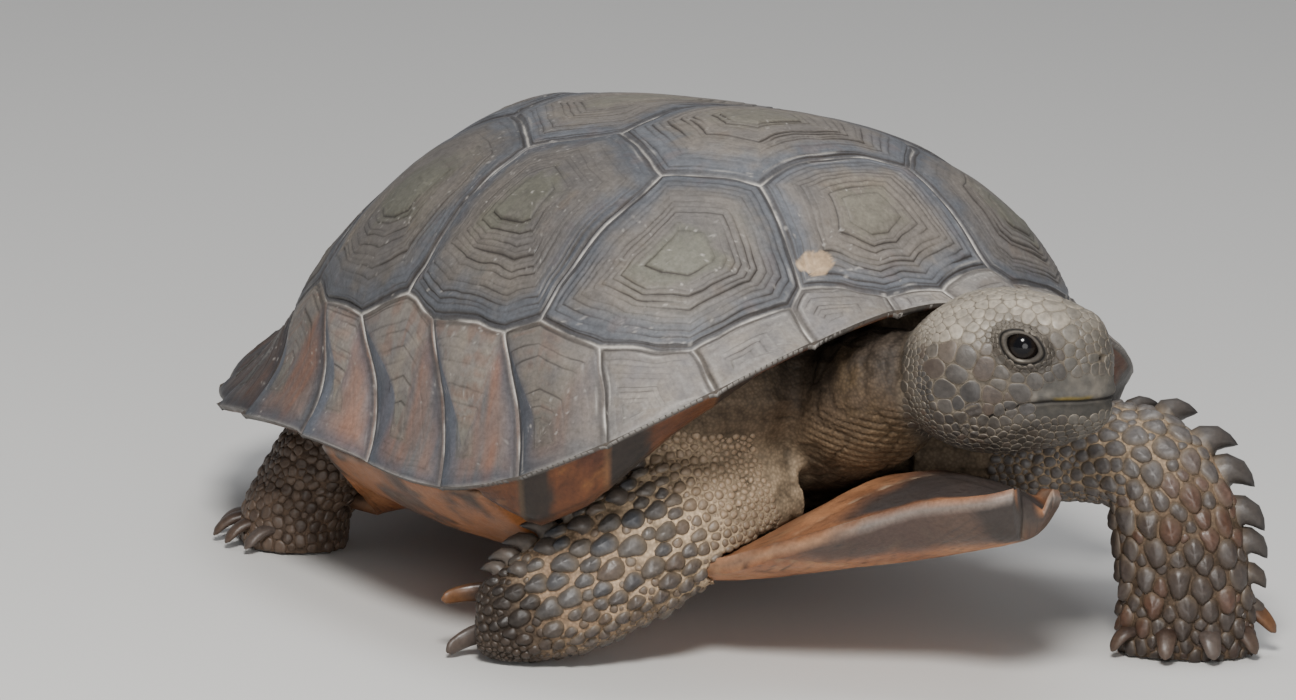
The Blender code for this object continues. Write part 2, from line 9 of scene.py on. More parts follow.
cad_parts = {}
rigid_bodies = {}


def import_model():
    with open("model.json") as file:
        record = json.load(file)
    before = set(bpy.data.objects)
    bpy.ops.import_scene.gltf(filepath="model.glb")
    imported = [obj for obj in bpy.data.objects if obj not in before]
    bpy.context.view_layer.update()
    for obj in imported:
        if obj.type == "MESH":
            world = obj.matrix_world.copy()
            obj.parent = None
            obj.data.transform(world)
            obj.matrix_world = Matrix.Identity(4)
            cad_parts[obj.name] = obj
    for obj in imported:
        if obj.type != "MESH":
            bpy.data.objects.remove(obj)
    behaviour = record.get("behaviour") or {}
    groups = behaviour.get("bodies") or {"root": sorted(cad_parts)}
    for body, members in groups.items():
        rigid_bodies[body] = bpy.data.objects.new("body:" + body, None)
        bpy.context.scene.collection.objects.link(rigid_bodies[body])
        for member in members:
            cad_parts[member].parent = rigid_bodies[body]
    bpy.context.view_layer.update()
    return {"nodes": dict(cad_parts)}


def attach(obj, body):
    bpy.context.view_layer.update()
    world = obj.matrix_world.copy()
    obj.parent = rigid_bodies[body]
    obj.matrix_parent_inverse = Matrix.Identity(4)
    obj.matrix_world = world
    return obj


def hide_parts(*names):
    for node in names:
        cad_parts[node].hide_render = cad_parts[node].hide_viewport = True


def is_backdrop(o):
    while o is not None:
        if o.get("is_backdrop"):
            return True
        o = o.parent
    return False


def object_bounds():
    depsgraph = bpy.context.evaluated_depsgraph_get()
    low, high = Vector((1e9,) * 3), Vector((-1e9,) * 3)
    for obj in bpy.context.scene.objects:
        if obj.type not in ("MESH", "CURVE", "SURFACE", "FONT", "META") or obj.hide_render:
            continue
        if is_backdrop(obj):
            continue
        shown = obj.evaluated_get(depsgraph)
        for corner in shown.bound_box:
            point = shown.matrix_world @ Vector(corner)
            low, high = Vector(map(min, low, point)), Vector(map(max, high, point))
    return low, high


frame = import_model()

S = 0.90                             # the animal's size factor
OX, OY = 0.005254, 0.0               # middle of the bounding box
PITCH = math.atan(0.0706)
LIFT = 0.02075
RNG = np.random.default_rng(7)


# ------------------------------------------------------------------ small maths
def unit(v):
    v = np.asarray(v, float)
    return v / (np.linalg.norm(v, axis=-1, keepdims=True) + 1e-12)


def place(p):
    """Own lengths to the model's frame."""
    return np.asarray(p, float) * S + np.array([OX, OY, 0.0])


def to_world(p):
    p = np.asarray(p, float)
    c, s = math.cos(PITCH), math.sin(PITCH)
    return np.stack([p[..., 0] * c - p[..., 2] * s, p[..., 1], p[..., 2] * c + p[..., 0] * s + LIFT], -1)


def smooth(a, b, x):
    t = np.clip((np.asarray(x, float) - a) / (b - a), 0, 1)
    return t * t * (3 - 2 * t)


def _lat(i, j, k, seed):
    with np.errstate(over="ignore"):
        h = (i.astype(np.uint32) * np.uint32(374761393) + j.astype(np.uint32) * np.uint32(668265263)
             + k.astype(np.uint32) * np.uint32(1274126177) + np.uint32((seed * 974711 + 12345) % 4294967296))
        h = (h ^ (h >> np.uint32(13))) * np.uint32(1103515245)
        h = (h ^ (h >> np.uint32(15))) * np.uint32(2246822519)
        h = h ^ (h >> np.uint32(16))
    return h.astype(np.float64) / 4294967295.0


def vnoise(p, scale, seed=0):
    """Smooth noise from -1 to 1 at points p, with features of that size in metres."""
    q = np.asarray(p, float) / scale + 4096.0
    i = np.floor(q).astype(np.int64)
    f = q - i
    f = f * f * (3 - 2 * f)
    out = 0
    for a in (0, 1):
        wa = f[..., 0] if a else 1 - f[..., 0]
        for b in (0, 1):
            wb = f[..., 1] if b else 1 - f[..., 1]
            for c in (0, 1):
                wc = f[..., 2] if c else 1 - f[..., 2]
                out = out + wa * wb * wc * _lat(i[..., 0] + a, i[..., 1] + b, i[..., 2] + c, seed)
    return out * 2 - 1


def fbm(p, scale, seed=0, octaves=3, gain=0.5):
    out, amp, tot = 0, 1.0, 0
    for o in range(octaves):
        out = out + amp * vnoise(p, scale / 2 ** o, seed + 31 * o)
        tot += amp
        amp *= gain
    return out / tot


def mix(a, b, t):
    a = np.asarray(a, float)
    b = np.asarray(b, float)
    t = np.clip(np.asarray(t, float), 0, 1)[..., None]
    return a * (1 - t) + b * t


def spline(points, per):
    p = np.asarray(points, float)
    q = np.concatenate([[2 * p[0] - p[1]], p, [2 * p[-1] - p[-2]]])
    out = []
    for k in range(len(p) - 1):
        a, b, c, d = q[k], q[k + 1], q[k + 2], q[k + 3]
        for i in range(per):
            t = i / per
            out.append(0.5 * ((2 * b) + (c - a) * t + (2 * a - 5 * b + 4 * c - d) * t * t
                              + (3 * b - a - 3 * c + d) * t ** 3))
    out.append(p[-1])
    return np.array(out)


# ------------------------------------------------------------------ mesh helpers
def grid_faces(nr, nc, wrap=True, base=0):
    """Quads of a grid of nr rows and nc columns."""
    r = np.arange(nr - 1)[:, None]
    c = np.arange(nc if wrap else nc - 1)[None, :]
    a = base + r * nc + c
    b = base + r * nc + (c + 1) % nc
    return np.stack([a, b, b + nc, a + nc], -1).reshape(-1, 4)


def new_mesh(name, verts, quads=None, tris=None, col=None, attrs=None, smooth_shade=True):
    verts = np.asarray(verts, np.float32)
    quads = np.zeros((0, 4), int) if quads is None else np.asarray(quads, int)
    tris = np.zeros((0, 3), int) if tris is None else np.asarray(tris, int)
    me = bpy.data.meshes.new(name)
    me.vertices.add(len(verts))
    me.vertices.foreach_set("co", verts.ravel())
    loops = np.concatenate([quads.ravel(), tris.ravel()]).astype(np.int32)
    me.loops.add(len(loops))
    me.loops.foreach_set("vertex_index", loops)
    nq, nt = len(quads), len(tris)
    start = np.concatenate([np.arange(nq) * 4, nq * 4 + np.arange(nt) * 3]).astype(np.int32)
    me.polygons.add(nq + nt)
    me.polygons.foreach_set("loop_start", start)
    me.polygons.foreach_set("use_smooth", np.full(nq + nt, bool(smooth_shade)))
    me.update(calc_edges=True)
    me.validate()
    if col is not None:
        a = me.attributes.new("Col", "FLOAT_COLOR", "POINT")
        c4 = np.ones((len(verts), 4), np.float32)
        c4[:, :3] = np.clip(col, 0, 1)
        a.data.foreach_set("color", c4.ravel())
    for k, v in (attrs or {}).items():
        a = me.attributes.new(k, "FLOAT", "POINT")
        a.data.foreach_set("value", np.asarray(v, np.float32))
    ob = bpy.data.objects.new(name, me)
    bpy.context.scene.collection.objects.link(ob)
    return ob


def mesh_arrays(ob):
    me = ob.data
    v = np.zeros(len(me.vertices) * 3, np.float32)
    me.vertices.foreach_get("co", v)
    n = np.zeros(len(me.vertices) * 3, np.float32)
    me.vertices.foreach_get("normal", n)
    return v.reshape(-1, 3).astype(float), n.reshape(-1, 3).astype(float)


# ------------------------------------------------------------------ carapace surface
PLAN = dict(front=0.1133, rear=0.1664, half=0.1034, n=(2.581, 0.236), taper=0.0874, H=0.1334, ax=-0.0453,
            m=(1.762, 0.0408, -0.2687, 0.0486), full=(0.00256, 0.0140, -0.00152), rear_full=0.0050,
            rim=(0.04526, 0.01865, 0.01515, 0.00674, 0.0030, -0.00305), r=(-0.02932, -0.03602, 0.00101, -0.01248),
            flare=(0.01337, -0.00253, 0.00344), fw=0.2467)
BUTTRESS = np.array(((0, 0.0), (14, 0.0008), (20, 0.0016), (25, 0.0027), (32, 0.0050), (39, 0.0075), (46, 0.0122),
                     (50, 0.0150), (57, 0.0150), (62, 0.0090), (67, 0.0030), (72, 0.0), (180, 0.0)))
BUTTRESS_IN = {0.955: 0.0060, 0.905: 0.0145}
UNDER = ((1.0, 0.0022), (0.955, 0.0056), (0.905, 0.0074), (0.85, 0.0070), (0.76, 0.0058),
         (0.62, 0.0050), (0.45, 0.0050), (0.25, 0.0050))


def dome(phi, rho):
    P = PLAN
    phi = np.asarray(phi, float)
    rho = np.clip(np.asarray(rho, float), 1e-4, 1)
    c, s = np.cos(phi), np.sin(phi)
    c2, c3, c4, c5 = np.cos(2 * phi), np.cos(3 * phi), np.cos(4 * phi), np.cos(5 * phi)
    n = P["n"][0] + P["n"][1] * c
    d = (np.abs(c) ** n + np.abs(s) ** n) ** (-1 / n)
    rx, ry = c * d, s * d
    xr = np.where(rx > 0, P["front"], P["rear"]) * rx
    yr = P["half"] * ry * (1 + P["taper"] * rx)
    R = P["rim"]
    zr = R[0] + R[1] * c + R[2] * c2 + R[3] * c3 + R[4] * c4 + R[5] * c5
    r = P["r"]
    k = 1 + r[0] * (c2 - 1) + r[1] * (c3 - c) + r[2] * (c4 - 1) + r[3] * (c5 - c)
    xr, yr = xr * k, yr * k
    g = np.sin(rho * math.pi / 2)
    m = np.clip(P["m"][0] + P["m"][1] * c + P["m"][2] * c2 + P["m"][3] * c3, 1.7, 4)
    h = np.clip(1 - g ** m, 0, 1) ** (1 / m)
    full = P["full"][0] + P["full"][1] * c + P["full"][2] * c2 + P["rear_full"] * np.clip(-c, 0, 1) ** 6
    x = P["ax"] * (1 - g) + xr * g
    y = yr * g
    z = zr + (P["H"] - zr) * h + 4 * g * g * (1 - g * g) * full
    f = (P["flare"][0] + P["flare"][1] * c + P["flare"][2] * c2) * np.clip(1 - h / P["fw"], 0, 1) ** 2
    return np.stack([x + f * c, y + f * s, z], -1)


# marginal seams at the rim, degrees from the front
RIM = (6.0, 20.1, 33.6, 47.2, 59.3, 73.2, 90.4, 103.0, 118.0, 133.0, 148.0, 163.0)


def scallop(phi, rho):
    """Uneven lower edge of the marginals: each one's rear corner stands a little proud, most at the back."""
    a = np.abs(np.degrees(np.angle(np.exp(1j * phi))))
    edges = np.array((-6.0,) + RIM + (197.0,))
    i = np.clip(np.searchsorted(edges, a) - 1, 0, len(edges) - 2)
    t = (a - edges[i]) / (edges[i + 1] - edges[i])
    saw = np.where(a > 163, np.cos((a - 180) / 17 * math.pi) * 0.4, (t - 0.5) * smooth(0, 0.10, t))
    amp = 0.0005 + 0.0024 * smooth(85, 130, a) + 0.0006 * (1 - smooth(10, 30, a))
    w = smooth(0.86, 1.0, rho)
    out = saw * amp * w
    return np.stack([out * np.cos(phi), out * np.sin(phi), -0.35 * out], -1)


def surf(q):
    """Carapace at the disc point q, before scute relief, in the shell's own frame."""
    q = np.asarray(q, float)
    phi = np.arctan2(q[..., 1], q[..., 0])
    rho = np.minimum(np.hypot(q[..., 0], q[..., 1]), 1.0)
    return dome(phi, rho) + scallop(phi, rho)


def surf_n(q):
    q = np.asarray(q, float)
    e = 0.006
    rr = np.maximum(np.hypot(q[..., 0], q[..., 1]), 1e-6)[..., None]
    qq = q / rr * np.clip(rr, 0.015, 0.99)
    sx = np.where(qq[..., 0] > 0, -e, e)
    sy = np.where(qq[..., 1] > 0, -e, e)

    def D(a):
        return dome(np.arctan2(a[..., 1], a[..., 0]), np.hypot(a[..., 0], a[..., 1]))
    base = D(qq)
    dx = (D(qq + np.stack([sx, np.zeros_like(sx)], -1)) - base) / sx[..., None]
    dy = (D(qq + np.stack([np.zeros_like(sy), sy], -1)) - base) / sy[..., None]
    return unit(np.cross(dx, dy))


# ------------------------------------------------------------------ scute layout, in the disc
J = {"V1V2": (0.560, 0.184), "V2L": (0.385, 0.266), "V2V3": (0.222, 0.172), "V3L": (0.114, 0.305),
     "V3V4": (-0.025, 0.186), "V4L": (-0.215, 0.275), "V4V5": (-0.395, 0.165), "V1C1": (0.798, 0.268),
     "NU": (0.928, 0.084), "C1C2": (0.376, 0.604), "C2C3": (-0.017, 0.700), "C3C4": (-0.328, 0.615),
     "C4V5": (-0.660, 0.330), "M1M2": (0.815, 0.314), "M2M3": (0.692, 0.503), "M3M4": (0.514, 0.591),
     "M4M5": (0.310, 0.660), "M5M6": (0.086, 0.727), "M6M7": (-0.137, 0.747), "M7M8": (-0.268, 0.697),
     "M8M9": (-0.445, 0.600), "M9M10": (-0.585, 0.470), "M10M11": (-0.715, 0.235), "M11S": (-0.775, 0.095)}


def rim_q(deg):
    a = math.radians(deg)
    return (math.cos(a), math.sin(a))


def side(p, sy):
    return (p[0], p[1] * sy)


def rim_arc(a, b, n=14):
    return [rim_q(a + (b - a) * i / n) for i in range(n + 1)]


def warp(q):
    """Seams wander a little; every scute sees the same bend."""
    q = np.asarray(q, float)
    p = np.stack([q[..., 0], q[..., 1], 0 * q[..., 0]], -1)
    k = 0.0055 * (1 - smooth(0.86, 0.99, np.hypot(q[..., 0], q[..., 1])))
    d = np.stack([vnoise(p, 0.11, 3) + 0.5 * vnoise(p, 0.045, 4), vnoise(p, 0.11, 5) + 0.5 * vnoise(p, 0.045, 6)], -1)
    return q + d * k[..., None]


SCUTES = []          # name, list of edges (each a polyline of disc points), areola, kind


def poly(*names):
    return [J[n] for n in names]


def add(name, pts, areola, kind, arc=None, closed=True):
    """pts: corners in order; arc: a polyline of rim points that closes the shape."""
    edges = [[pts[i], pts[i + 1]] for i in range(len(pts) - 1)]
    if arc is None:
        edges.append([pts[-1], pts[0]])
    else:
        edges.append([pts[-1]] + [arc[0]])
        edges.append(arc)
        edges.append([arc[-1], pts[0]])
    SCUTES.append((name, edges, areola, kind))


def both(names):
    """A midline scute from its right side's corners, front to back."""
    r = [side(J[n], -1) for n in names]
    l = [side(J[n], 1) for n in reversed(names)]
    return r + l


add("vertebral_1", both(["NU", "V1C1", "V1V2"])[:0] + [side(J["NU"], 1), side(J["V1C1"], 1), side(J["V1V2"], 1),
    side(J["V1V2"], -1), side(J["V1C1"], -1), side(J["NU"], -1)], (0.715, 0.0), "v")
add("vertebral_2", [side(J[n], 1) for n in ("V1V2", "V2L", "V2V3")] + [side(J[n], -1) for n in ("V2V3", "V2L", "V1V2")], (0.385, 0.0), "v")
add("vertebral_3", [side(J[n], 1) for n in ("V2V3", "V3L", "V3V4")] + [side(J[n], -1) for n in ("V3V4", "V3L", "V2V3")], (0.10, 0.0), "v")
add("vertebral_4", [side(J[n], 1) for n in ("V3V4", "V4L", "V4V5")] + [side(J[n], -1) for n in ("V4V5", "V4L", "V3V4")], (-0.21, 0.0), "v")
add("vertebral_5", [side(J[n], 1) for n in ("V4V5", "C4V5", "M10M11", "M11S")] + [side(J[n], -1) for n in ("M11S", "M10M11", "C4V5", "V4V5")], (-0.55, 0.0), "v")
for sy, tag in ((-1, "right"), (1, "left")):
    def sd(*names):
        p = [side(J[n], sy) for n in names]
        return p if sy > 0 else p[::-1]
    add("costal_1_" + tag, sd("V1C1", "M1M2", "M2M3", "M3M4", "C1C2", "V2L", "V1V2"), side((0.545, 0.385), sy), "c")
    add("costal_2_" + tag, sd("V2L", "C1C2", "M4M5", "M5M6", "C2C3", "V3L", "V2V3"), side((0.215, 0.425), sy), "c")
    add("costal_3_" + tag, sd("V3L", "C2C3", "M6M7", "M7M8", "C3C4", "V4L", "V3V4"), side((-0.105, 0.475), sy), "c")
    add("costal_4_" + tag, sd("V4L", "C3C4", "M8M9", "M9M10", "C4V5", "V4V5"), side((-0.41, 0.40), sy), "c")
    tops = [("NU", "V1C1", "M1M2"), ("M1M2", "M2M3"), ("M2M3", "M3M4"), ("M3M4", "C1C2", "M4M5"), ("M4M5", "M5M6"),
            ("M5M6", "C2C3", "M6M7"), ("M6M7", "M7M8"), ("M7M8", "C3C4", "M8M9"), ("M8M9", "M9M10"),
            ("M9M10", "C4V5", "M10M11"), ("M10M11", "M11S")]
    for k, t in enumerate(tops):
        a, b = RIM[k], RIM[k + 1]
        top = [side(J[n], sy) for n in t]
        arc = [side(p, sy) for p in rim_arc(b, a)]
        aa = b - 0.24 * (b - a)
        rr = 0.935 if k > 2 else 0.955
        ar = side((rr * math.cos(math.radians(aa)), rr * math.sin(math.radians(aa))), sy)
        if sy > 0:
            # anticlockwise: rim from front to back, then the top from back to front
            e = top[::-1]
            arc2 = arc[::-1]
        else:
            e = top
            arc2 = arc
        pts = e
        edges = [[pts[i], pts[i + 1]] for i in range(len(pts) - 1)]
        edges.append([pts[-1], arc2[0]])
        edges.append(arc2)
        edges.append([arc2[-1], pts[0]])
        SCUTES.append(("marginal_%d_%s" % (k + 1, tag), edges, ar, "m"))
nu = [side(J["NU"], 1), side(J["NU"], -1)]
SCUTES.append(("nuchal", [[nu[0], nu[1]], [nu[1], rim_q(-6)], [rim_q(-6 + i) for i in range(13)], [rim_q(6), nu[0]]],
               (0.965, 0.0), "n"))
sc = [side(J["M11S"], -1), side(J["M11S"], 1)]
SCUTES.append(("supracaudal", [[sc[0], sc[1]], [sc[1], rim_q(163)], [rim_q(163 + i * 2) for i in range(18)], [rim_q(197), sc[0]]],
               (-0.93, 0.0), "s"))

# colours (linear)
TAUPE = np.array([0.136, 0.126, 0.122])
TAN = np.array([0.186, 0.158, 0.127])
OLIVE = np.array([0.134, 0.128, 0.101])
BLUE = np.array([0.084, 0.098, 0.122])
GROOVE = np.array([0.026, 0.021, 0.018])
PALE = np.array([0.48, 0.45, 0.41])
RED = np.array([0.110, 0.062, 0.045])
MAREO = np.array([0.075, 0.072, 0.060])
CHIP = np.array([0.42, 0.30, 0.19])


def scute_mesh(name, edges, areola, kind, seed):
    """One scute: rings from its areola out to its seams, each with its growth ridges."""
    step = 0.0011
    # boundary in the disc, evenly in true length
    bq, bs = [], []
    for ei, e in enumerate(edges):
        e = np.array(e, float)
        seg = []
        for i in range(len(e) - 1):
            m = 10
            t = np.linspace(0, 1, m, endpoint=False)[:, None]
            seg.append(e[i] * (1 - t) + e[i + 1] * t)
        seg.append(e[-1:])
        seg = np.concatenate(seg)
        p3 = surf(seg)
        ln = np.concatenate([[0], np.cumsum(np.linalg.norm(np.diff(p3, axis=0), axis=1))])
        if ln[-1] < 1e-6:
            continue
        n = max(3, int(round(ln[-1] / step)))
        tt = np.linspace(0, ln[-1], n, endpoint=False)
        bq.append(np.stack([np.interp(tt, ln, seg[:, 0]), np.interp(tt, ln, seg[:, 1])], -1))
        bs.append(np.full(n, ei))
    bq = np.concatenate(bq)
    bs = np.concatenate(bs)
    M = len(bq)
    c = np.array(areola, float)
    c3 = surf(warp(c))
    b3 = surf(warp(bq))
    # distance of the areola from each edge's line, smoothed round the corners
    nxt = np.roll(b3, -1, 0) - np.roll(b3, 1, 0)
    rad = b3 - c3
    Dp = np.linalg.norm(rad - nxt * (np.sum(rad * nxt, -1) / np.sum(nxt * nxt, -1))[:, None], axis=1)
    ker = np.ones(5) / 5
    Dp = np.convolve(np.concatenate([Dp[-2:], Dp, Dp[:2]]), ker, "valid")
    rs = np.random.default_rng(100 + seed)
    Dm = float(np.percentile(Dp, 75))
    r0, pitch = {"m": (0.20, 0.0019), "v": (0.27, 0.0022), "c": (0.24, 0.0022)}.get(kind, (0.25, 0.0017))
    marks, amps = [], []
    x = r0
    while x < 0.950:
        late = smooth(0.75, 0.97, x)
        marks.append(x)
        amps.append((0.18 + 1.05 * rs.random() ** 1.5) * (1.0 - 0.10 * late))
        x += pitch / Dm * (0.62 + 0.76 * rs.random()) * (1.15 - 0.40 * late)
    marks.append(0.956)
    amps.append(1.25)
    side_row = 0.00036 / Dm
    cand = [(m_, 0) for m_ in marks] + [(m_ + k * side_row, 1) for m_ in marks for k in (-1, 1)]
    cand = sorted([x for x in cand if x[0] < 0.9655])
    u = []
    for x, k in cand:
        if u and x - u[-1] < 0.5 * side_row:
            if k == 0:
                u[-1] = x
            continue
        u.append(x)
    most = 0.00105 / Dm
    full_u, last = [], 0.0
    for x in u + [0.966]:
        n_f = int(math.ceil((x - last) / most))
        full_u += [last + (x - last) * (k + 1) / n_f for k in range(n_f)]
        last = x
    u = np.array(full_u + [0.975, 0.983, 0.990, 0.9955, 1.0])
    R = len(u)
    b_off = np.array([0.3, 0.7, 0.1]) * seed
    q = c[None, None, :] + u[:, None, None] * (bq[None] - c)
    p0 = surf(q) + b_off
    wav = (0.0007 * vnoise(p0, 0.011, 11 + seed) + 0.00026 * vnoise(p0, 0.0036, 12 + seed)) / np.maximum(Dp, 0.004)[None]
    wav = wav * (smooth(0.05, 0.2, u) * (1 - smooth(0.90, 0.99, u)))[:, None]
    q = c[None, None, :] + (u[:, None] - wav)[..., None] * (bq[None] - c)
    q = warp(q)
    base = surf(q)
    nrm = surf_n(q)
    # distance to the seam, in metres
    flat = base.reshape(-1, 3)
    rim = np.array([np.hypot(*p) > 0.9999 for p in bq])
    onrim = np.convolve(np.concatenate([rim[-3:], rim, rim[:3]]).astype(float), np.ones(7) / 7, "valid")

    def to_edge(ks):
        best = np.full(len(flat), 1e9)
        for k in ks:
            a0, dv = b3[k], b3[(k + 1) % M] - b3[k]
            w_ = flat - a0
            tq = np.clip((w_ @ dv) / (dv @ dv), 0, 1)
            w_ -= tq[:, None] * dv
            best = np.minimum(best, np.einsum("ij,ij->i", w_, w_))
        return np.sqrt(best).reshape(R, M)
    free_k = [k for k in range(M) if not (rim[k] and rim[(k + 1) % M])]
    ds = to_edge(free_k)
    d = np.minimum(ds, to_edge([k for k in range(M) if rim[k] and rim[(k + 1) % M]])) if rim.any() else ds
    r = np.broadcast_to(u[:, None], (R, M)).copy()
    D = np.broadcast_to(Dp[None], (R, M))
    pn = base + b_off
    wob = r
    # how strongly the ridges show on each side of the scute
    b_in = b3[None] - c3
    dirx = unit(rad)
    down = -dirx[:, 2] if kind in ("c", "m") else np.zeros(M)
    fore = dirx[:, 0]
    if kind == "m":
        edge_id = bs
        top_n = len(edges) - 3
        is_top = (bs < top_n).astype(float)
        # which of the two side seams is the front one
        e_a = np.mean([surf(np.array(p, float))[0] for p in edges[top_n]])
        e_b = np.mean([surf(np.array(p, float))[0] for p in edges[-1]])
        phi_a = abs(math.atan2(edges[top_n][0][1], edges[top_n][0][0]))
        phi_b = abs(math.atan2(edges[-1][0][1], edges[-1][0][0]))
        front_edge = top_n if phi_a < phi_b else len(edges) - 1
        is_front = (bs == front_edge).astype(float)
        strength = 1.0 * is_top + 0.34 * is_front + 0.28 * (1 - is_top - is_front)
    elif kind == "c":
        is_top = is_front = np.zeros(M)
        strength = 0.50 + 0.55 * smooth(-0.2, 0.6, down) + 0.35 * smooth(0.3, 0.9, fore)
    else:
        is_top = is_front = np.zeros(M)
        strength = 0.70 + 0.40 * smooth(0.1, 0.8, -fore)
    strength = np.convolve(np.concatenate([strength[-2:], strength, strength[:2]]), np.ones(5) / 5, "valid")
    St = np.broadcast_to(strength[None], (R, M)) * np.clip(0.85 + 0.55 * vnoise(pn, 0.024, 21 + seed), 0.25, 1.5)
    at_seam = smooth(0.0002, 0.0016, ds)
    h = np.zeros((R, M))
    dark = np.zeros((R, M))
    prev = r0
    wid = 0.00028
    for k, (mk, am) in enumerate(zip(marks, amps)):
        dist = (wob - mk) * D
        local = smooth(0.0004, 0.0017, (pitch / Dm) * D)
        vary = np.clip(0.8 + 0.9 * vnoise(pn + k * 0.13, 0.016, 40 + k), 0.15, 1.4)
        g = np.exp(-(dist / wid) ** 2) * am * local * vary * at_seam
        h -= 0.00068 * g * St
        # terrace: the younger side of each line is a little lower, then swells
        h += 0.00030 * am * local * vary * St * at_seam * np.where(dist > 0, -np.exp(-(dist / 0.0012) ** 2), np.exp(-(dist / 0.0009) ** 2))
        dark = np.maximum(dark, g * np.clip(St, 0, 1.4))
    # broad form: each scute swells and falls into its seams
    h -= 0.0011 * np.exp(-(ds / 0.0048) ** 1.3)
    h -= 0.00045 * np.exp(-(ds / 0.0006) ** 2)
    lip = np.exp(-((ds - 0.0016) / 0.0007) ** 2)
    h += 0.00016 * lip
    if kind in ("v", "c"):
        h += 0.0005 * (1 - smooth(0.0, 0.9, r))
    if kind == "m":
        h += 0.0005 * np.exp(-((r - 0.15) / 0.25) ** 2)
        h += 0.0007 * np.exp(-((r - 0.5) / 0.4) ** 2) * (1 - smooth(0.7, 1.0, r))
    # areola: flat, pitted
    ar = 1 - smooth(r0 * 0.85, r0 * 1.05, wob)
    h += ar * (0.00028 + 0.00018 * fbm(pn, 0.0026, 60 + seed, 2))
    h += 0.00022 * fbm(base, 0.014, 61, 3)
    P = base + nrm * h[..., None]
    # skirt under the seam
    skirt = P[-1] - nrm[-1] * 0.0016
    centre = P[0].mean(0)
    verts = np.concatenate([[centre], P.reshape(-1, 3), skirt])
    quads = grid_faces(R + 1, M, True, 1)
    tris = np.stack([np.zeros(M, int), 1 + (np.arange(M) + 1) % M, 1 + np.arange(M)], -1)
    mid_q = quads[(R // 2) * M:(R // 2) * M + M]
    fn = np.cross(verts[mid_q[:, 1]] - verts[mid_q[:, 0]], verts[mid_q[:, 3]] - verts[mid_q[:, 0]])
    if np.sum(fn * nrm[R // 2]) < 0:
        quads, tris = quads[:, ::-1], tris[:, ::-1]
    # ---- colour
    nz = fbm(pn, 0.018, 71, 3)
    nz2 = fbm(pn, 0.006, 73, 3)
    nz3 = fbm(pn, 0.0022, 74, 2)
    a180 = np.abs(np.degrees(np.arctan2(q[..., 1], q[..., 0])))
    if kind in ("v", "c"):
        col = mix(TAUPE, TAN, 0.45 + 0.6 * nz)
        col = mix(col, OLIVE, smooth(0.0, 0.5, 0.5 * nz2 + 0.55 * (1 - smooth(0.1, 0.5, wob)) + 0.25 * nz))
        bl = smooth(0.60, 0.92, r + 0.22 * nz2 + 0.10 * nz) * 0.72
        col = mix(col, BLUE, bl)
        band = fbm(np.stack([wob * D / 0.0011 * 0.001, 0 * r, 0 * r + seed], -1), 0.0011, 81, 2)
        col = col * (1 + 0.16 * band[..., None])
        if kind == "v":
            col = mix(col, TAN * 1.02, 0.35 * (1 - smooth(0.2, 0.9, r))) * 0.94
        col = mix(col, RED * 1.5, 0.20 * smooth(0.15, 0.6, nz2) * smooth(0.2, 0.5, r))
        ray = vnoise(np.stack([np.broadcast_to(np.arange(M)[None] * 0.0011, (R, M)), 0.06 * r, 0 * r + seed], -1), 0.0034, 84)
        col = col * (1 + 0.10 * ray * smooth(0.3, 0.7, r))[..., None]
        # each costal darker than the one before it, front to back: partly the scutes' own tone, partly painted shade on
        # the rear ones away from the front lamp
        if kind == "c":
            col = col * {"1": 0.82, "2": 0.76, "3": 0.70, "4": 0.68}[name[7]]
    else:
        light = 1 - smooth(38, 62, a180)
        warm = mix(TAUPE * 0.95, TAN * 0.98, 0.5 + 0.7 * nz2)
        stripe = vnoise(np.stack([wob * D, 0 * r, 0 * r + seed], -1), 0.0017, 82)
        mk_ = 0 if kind == "n" else 12 if kind == "s" else int(name.split("_")[1])
        e_lo, e_hi = (0.0, 6.0) if kind == "n" else (163.0, 180.0) if kind == "s" else (RIM[mk_ - 1], RIM[mk_])
        across = np.clip((a180 - e_lo) / (e_hi - e_lo), 0, 1)
        run = np.stack([(a180 - e_lo) * 0.0021, 0.12 * base[..., 2] + 0.05 * base[..., 0], 0 * r + 0.01 * seed], -1)
        strk = vnoise(run, 0.0034, 83) + 0.5 * vnoise(run, 0.0013, 85)
        topc = mix(warm, RED * 1.35, 0.45 * smooth(0.0, 0.6, 0.6 * stripe + 0.6 * strk))
        frontc = mix(mix(RED * 1.45, TAUPE * 0.78, 0.5 + 0.55 * strk), BLUE * 0.80,
                     smooth(0.62, 0.95, across + 0.12 * nz) * 0.85 + 0.5 * smooth(0.10, 0.0, across))
        frontc = mix(frontc, BLUE * 0.62, 0.65 * smooth(0.007, 0.001, d + 0.0015 * nz2) * (ds > 0.0008))
        Tm = np.broadcast_to(np.convolve(np.concatenate([is_top[-3:], is_top, is_top[:3]]), np.ones(7) / 7, "valid")[None], (R, M))
        col = frontc * (1 - Tm[..., None]) + topc * Tm[..., None]
        lc = mix(TAUPE * 1.50, TAN * 1.32, 0.4 + 0.7 * nz2)
        lc = mix(lc, PALE * 0.75, 0.35 * smooth(0.0, 0.6, stripe))
        col = col * (1 - light[..., None]) + lc * light[..., None]
        aw = (1 - smooth(r0 * 0.9, r0 * 1.6, wob + 0.05 * nz2)) * (1 - 0.75 * light)
        col = mix(col, mix(MAREO, OLIVE * 0.8, 0.5 + 0.7 * nz3), aw * (0.45 if kind == "m" else 0.4))
        if kind == "s":
            col = mix(TAUPE * 0.9, TAN * 0.8, 0.5 + 0.6 * nz2)
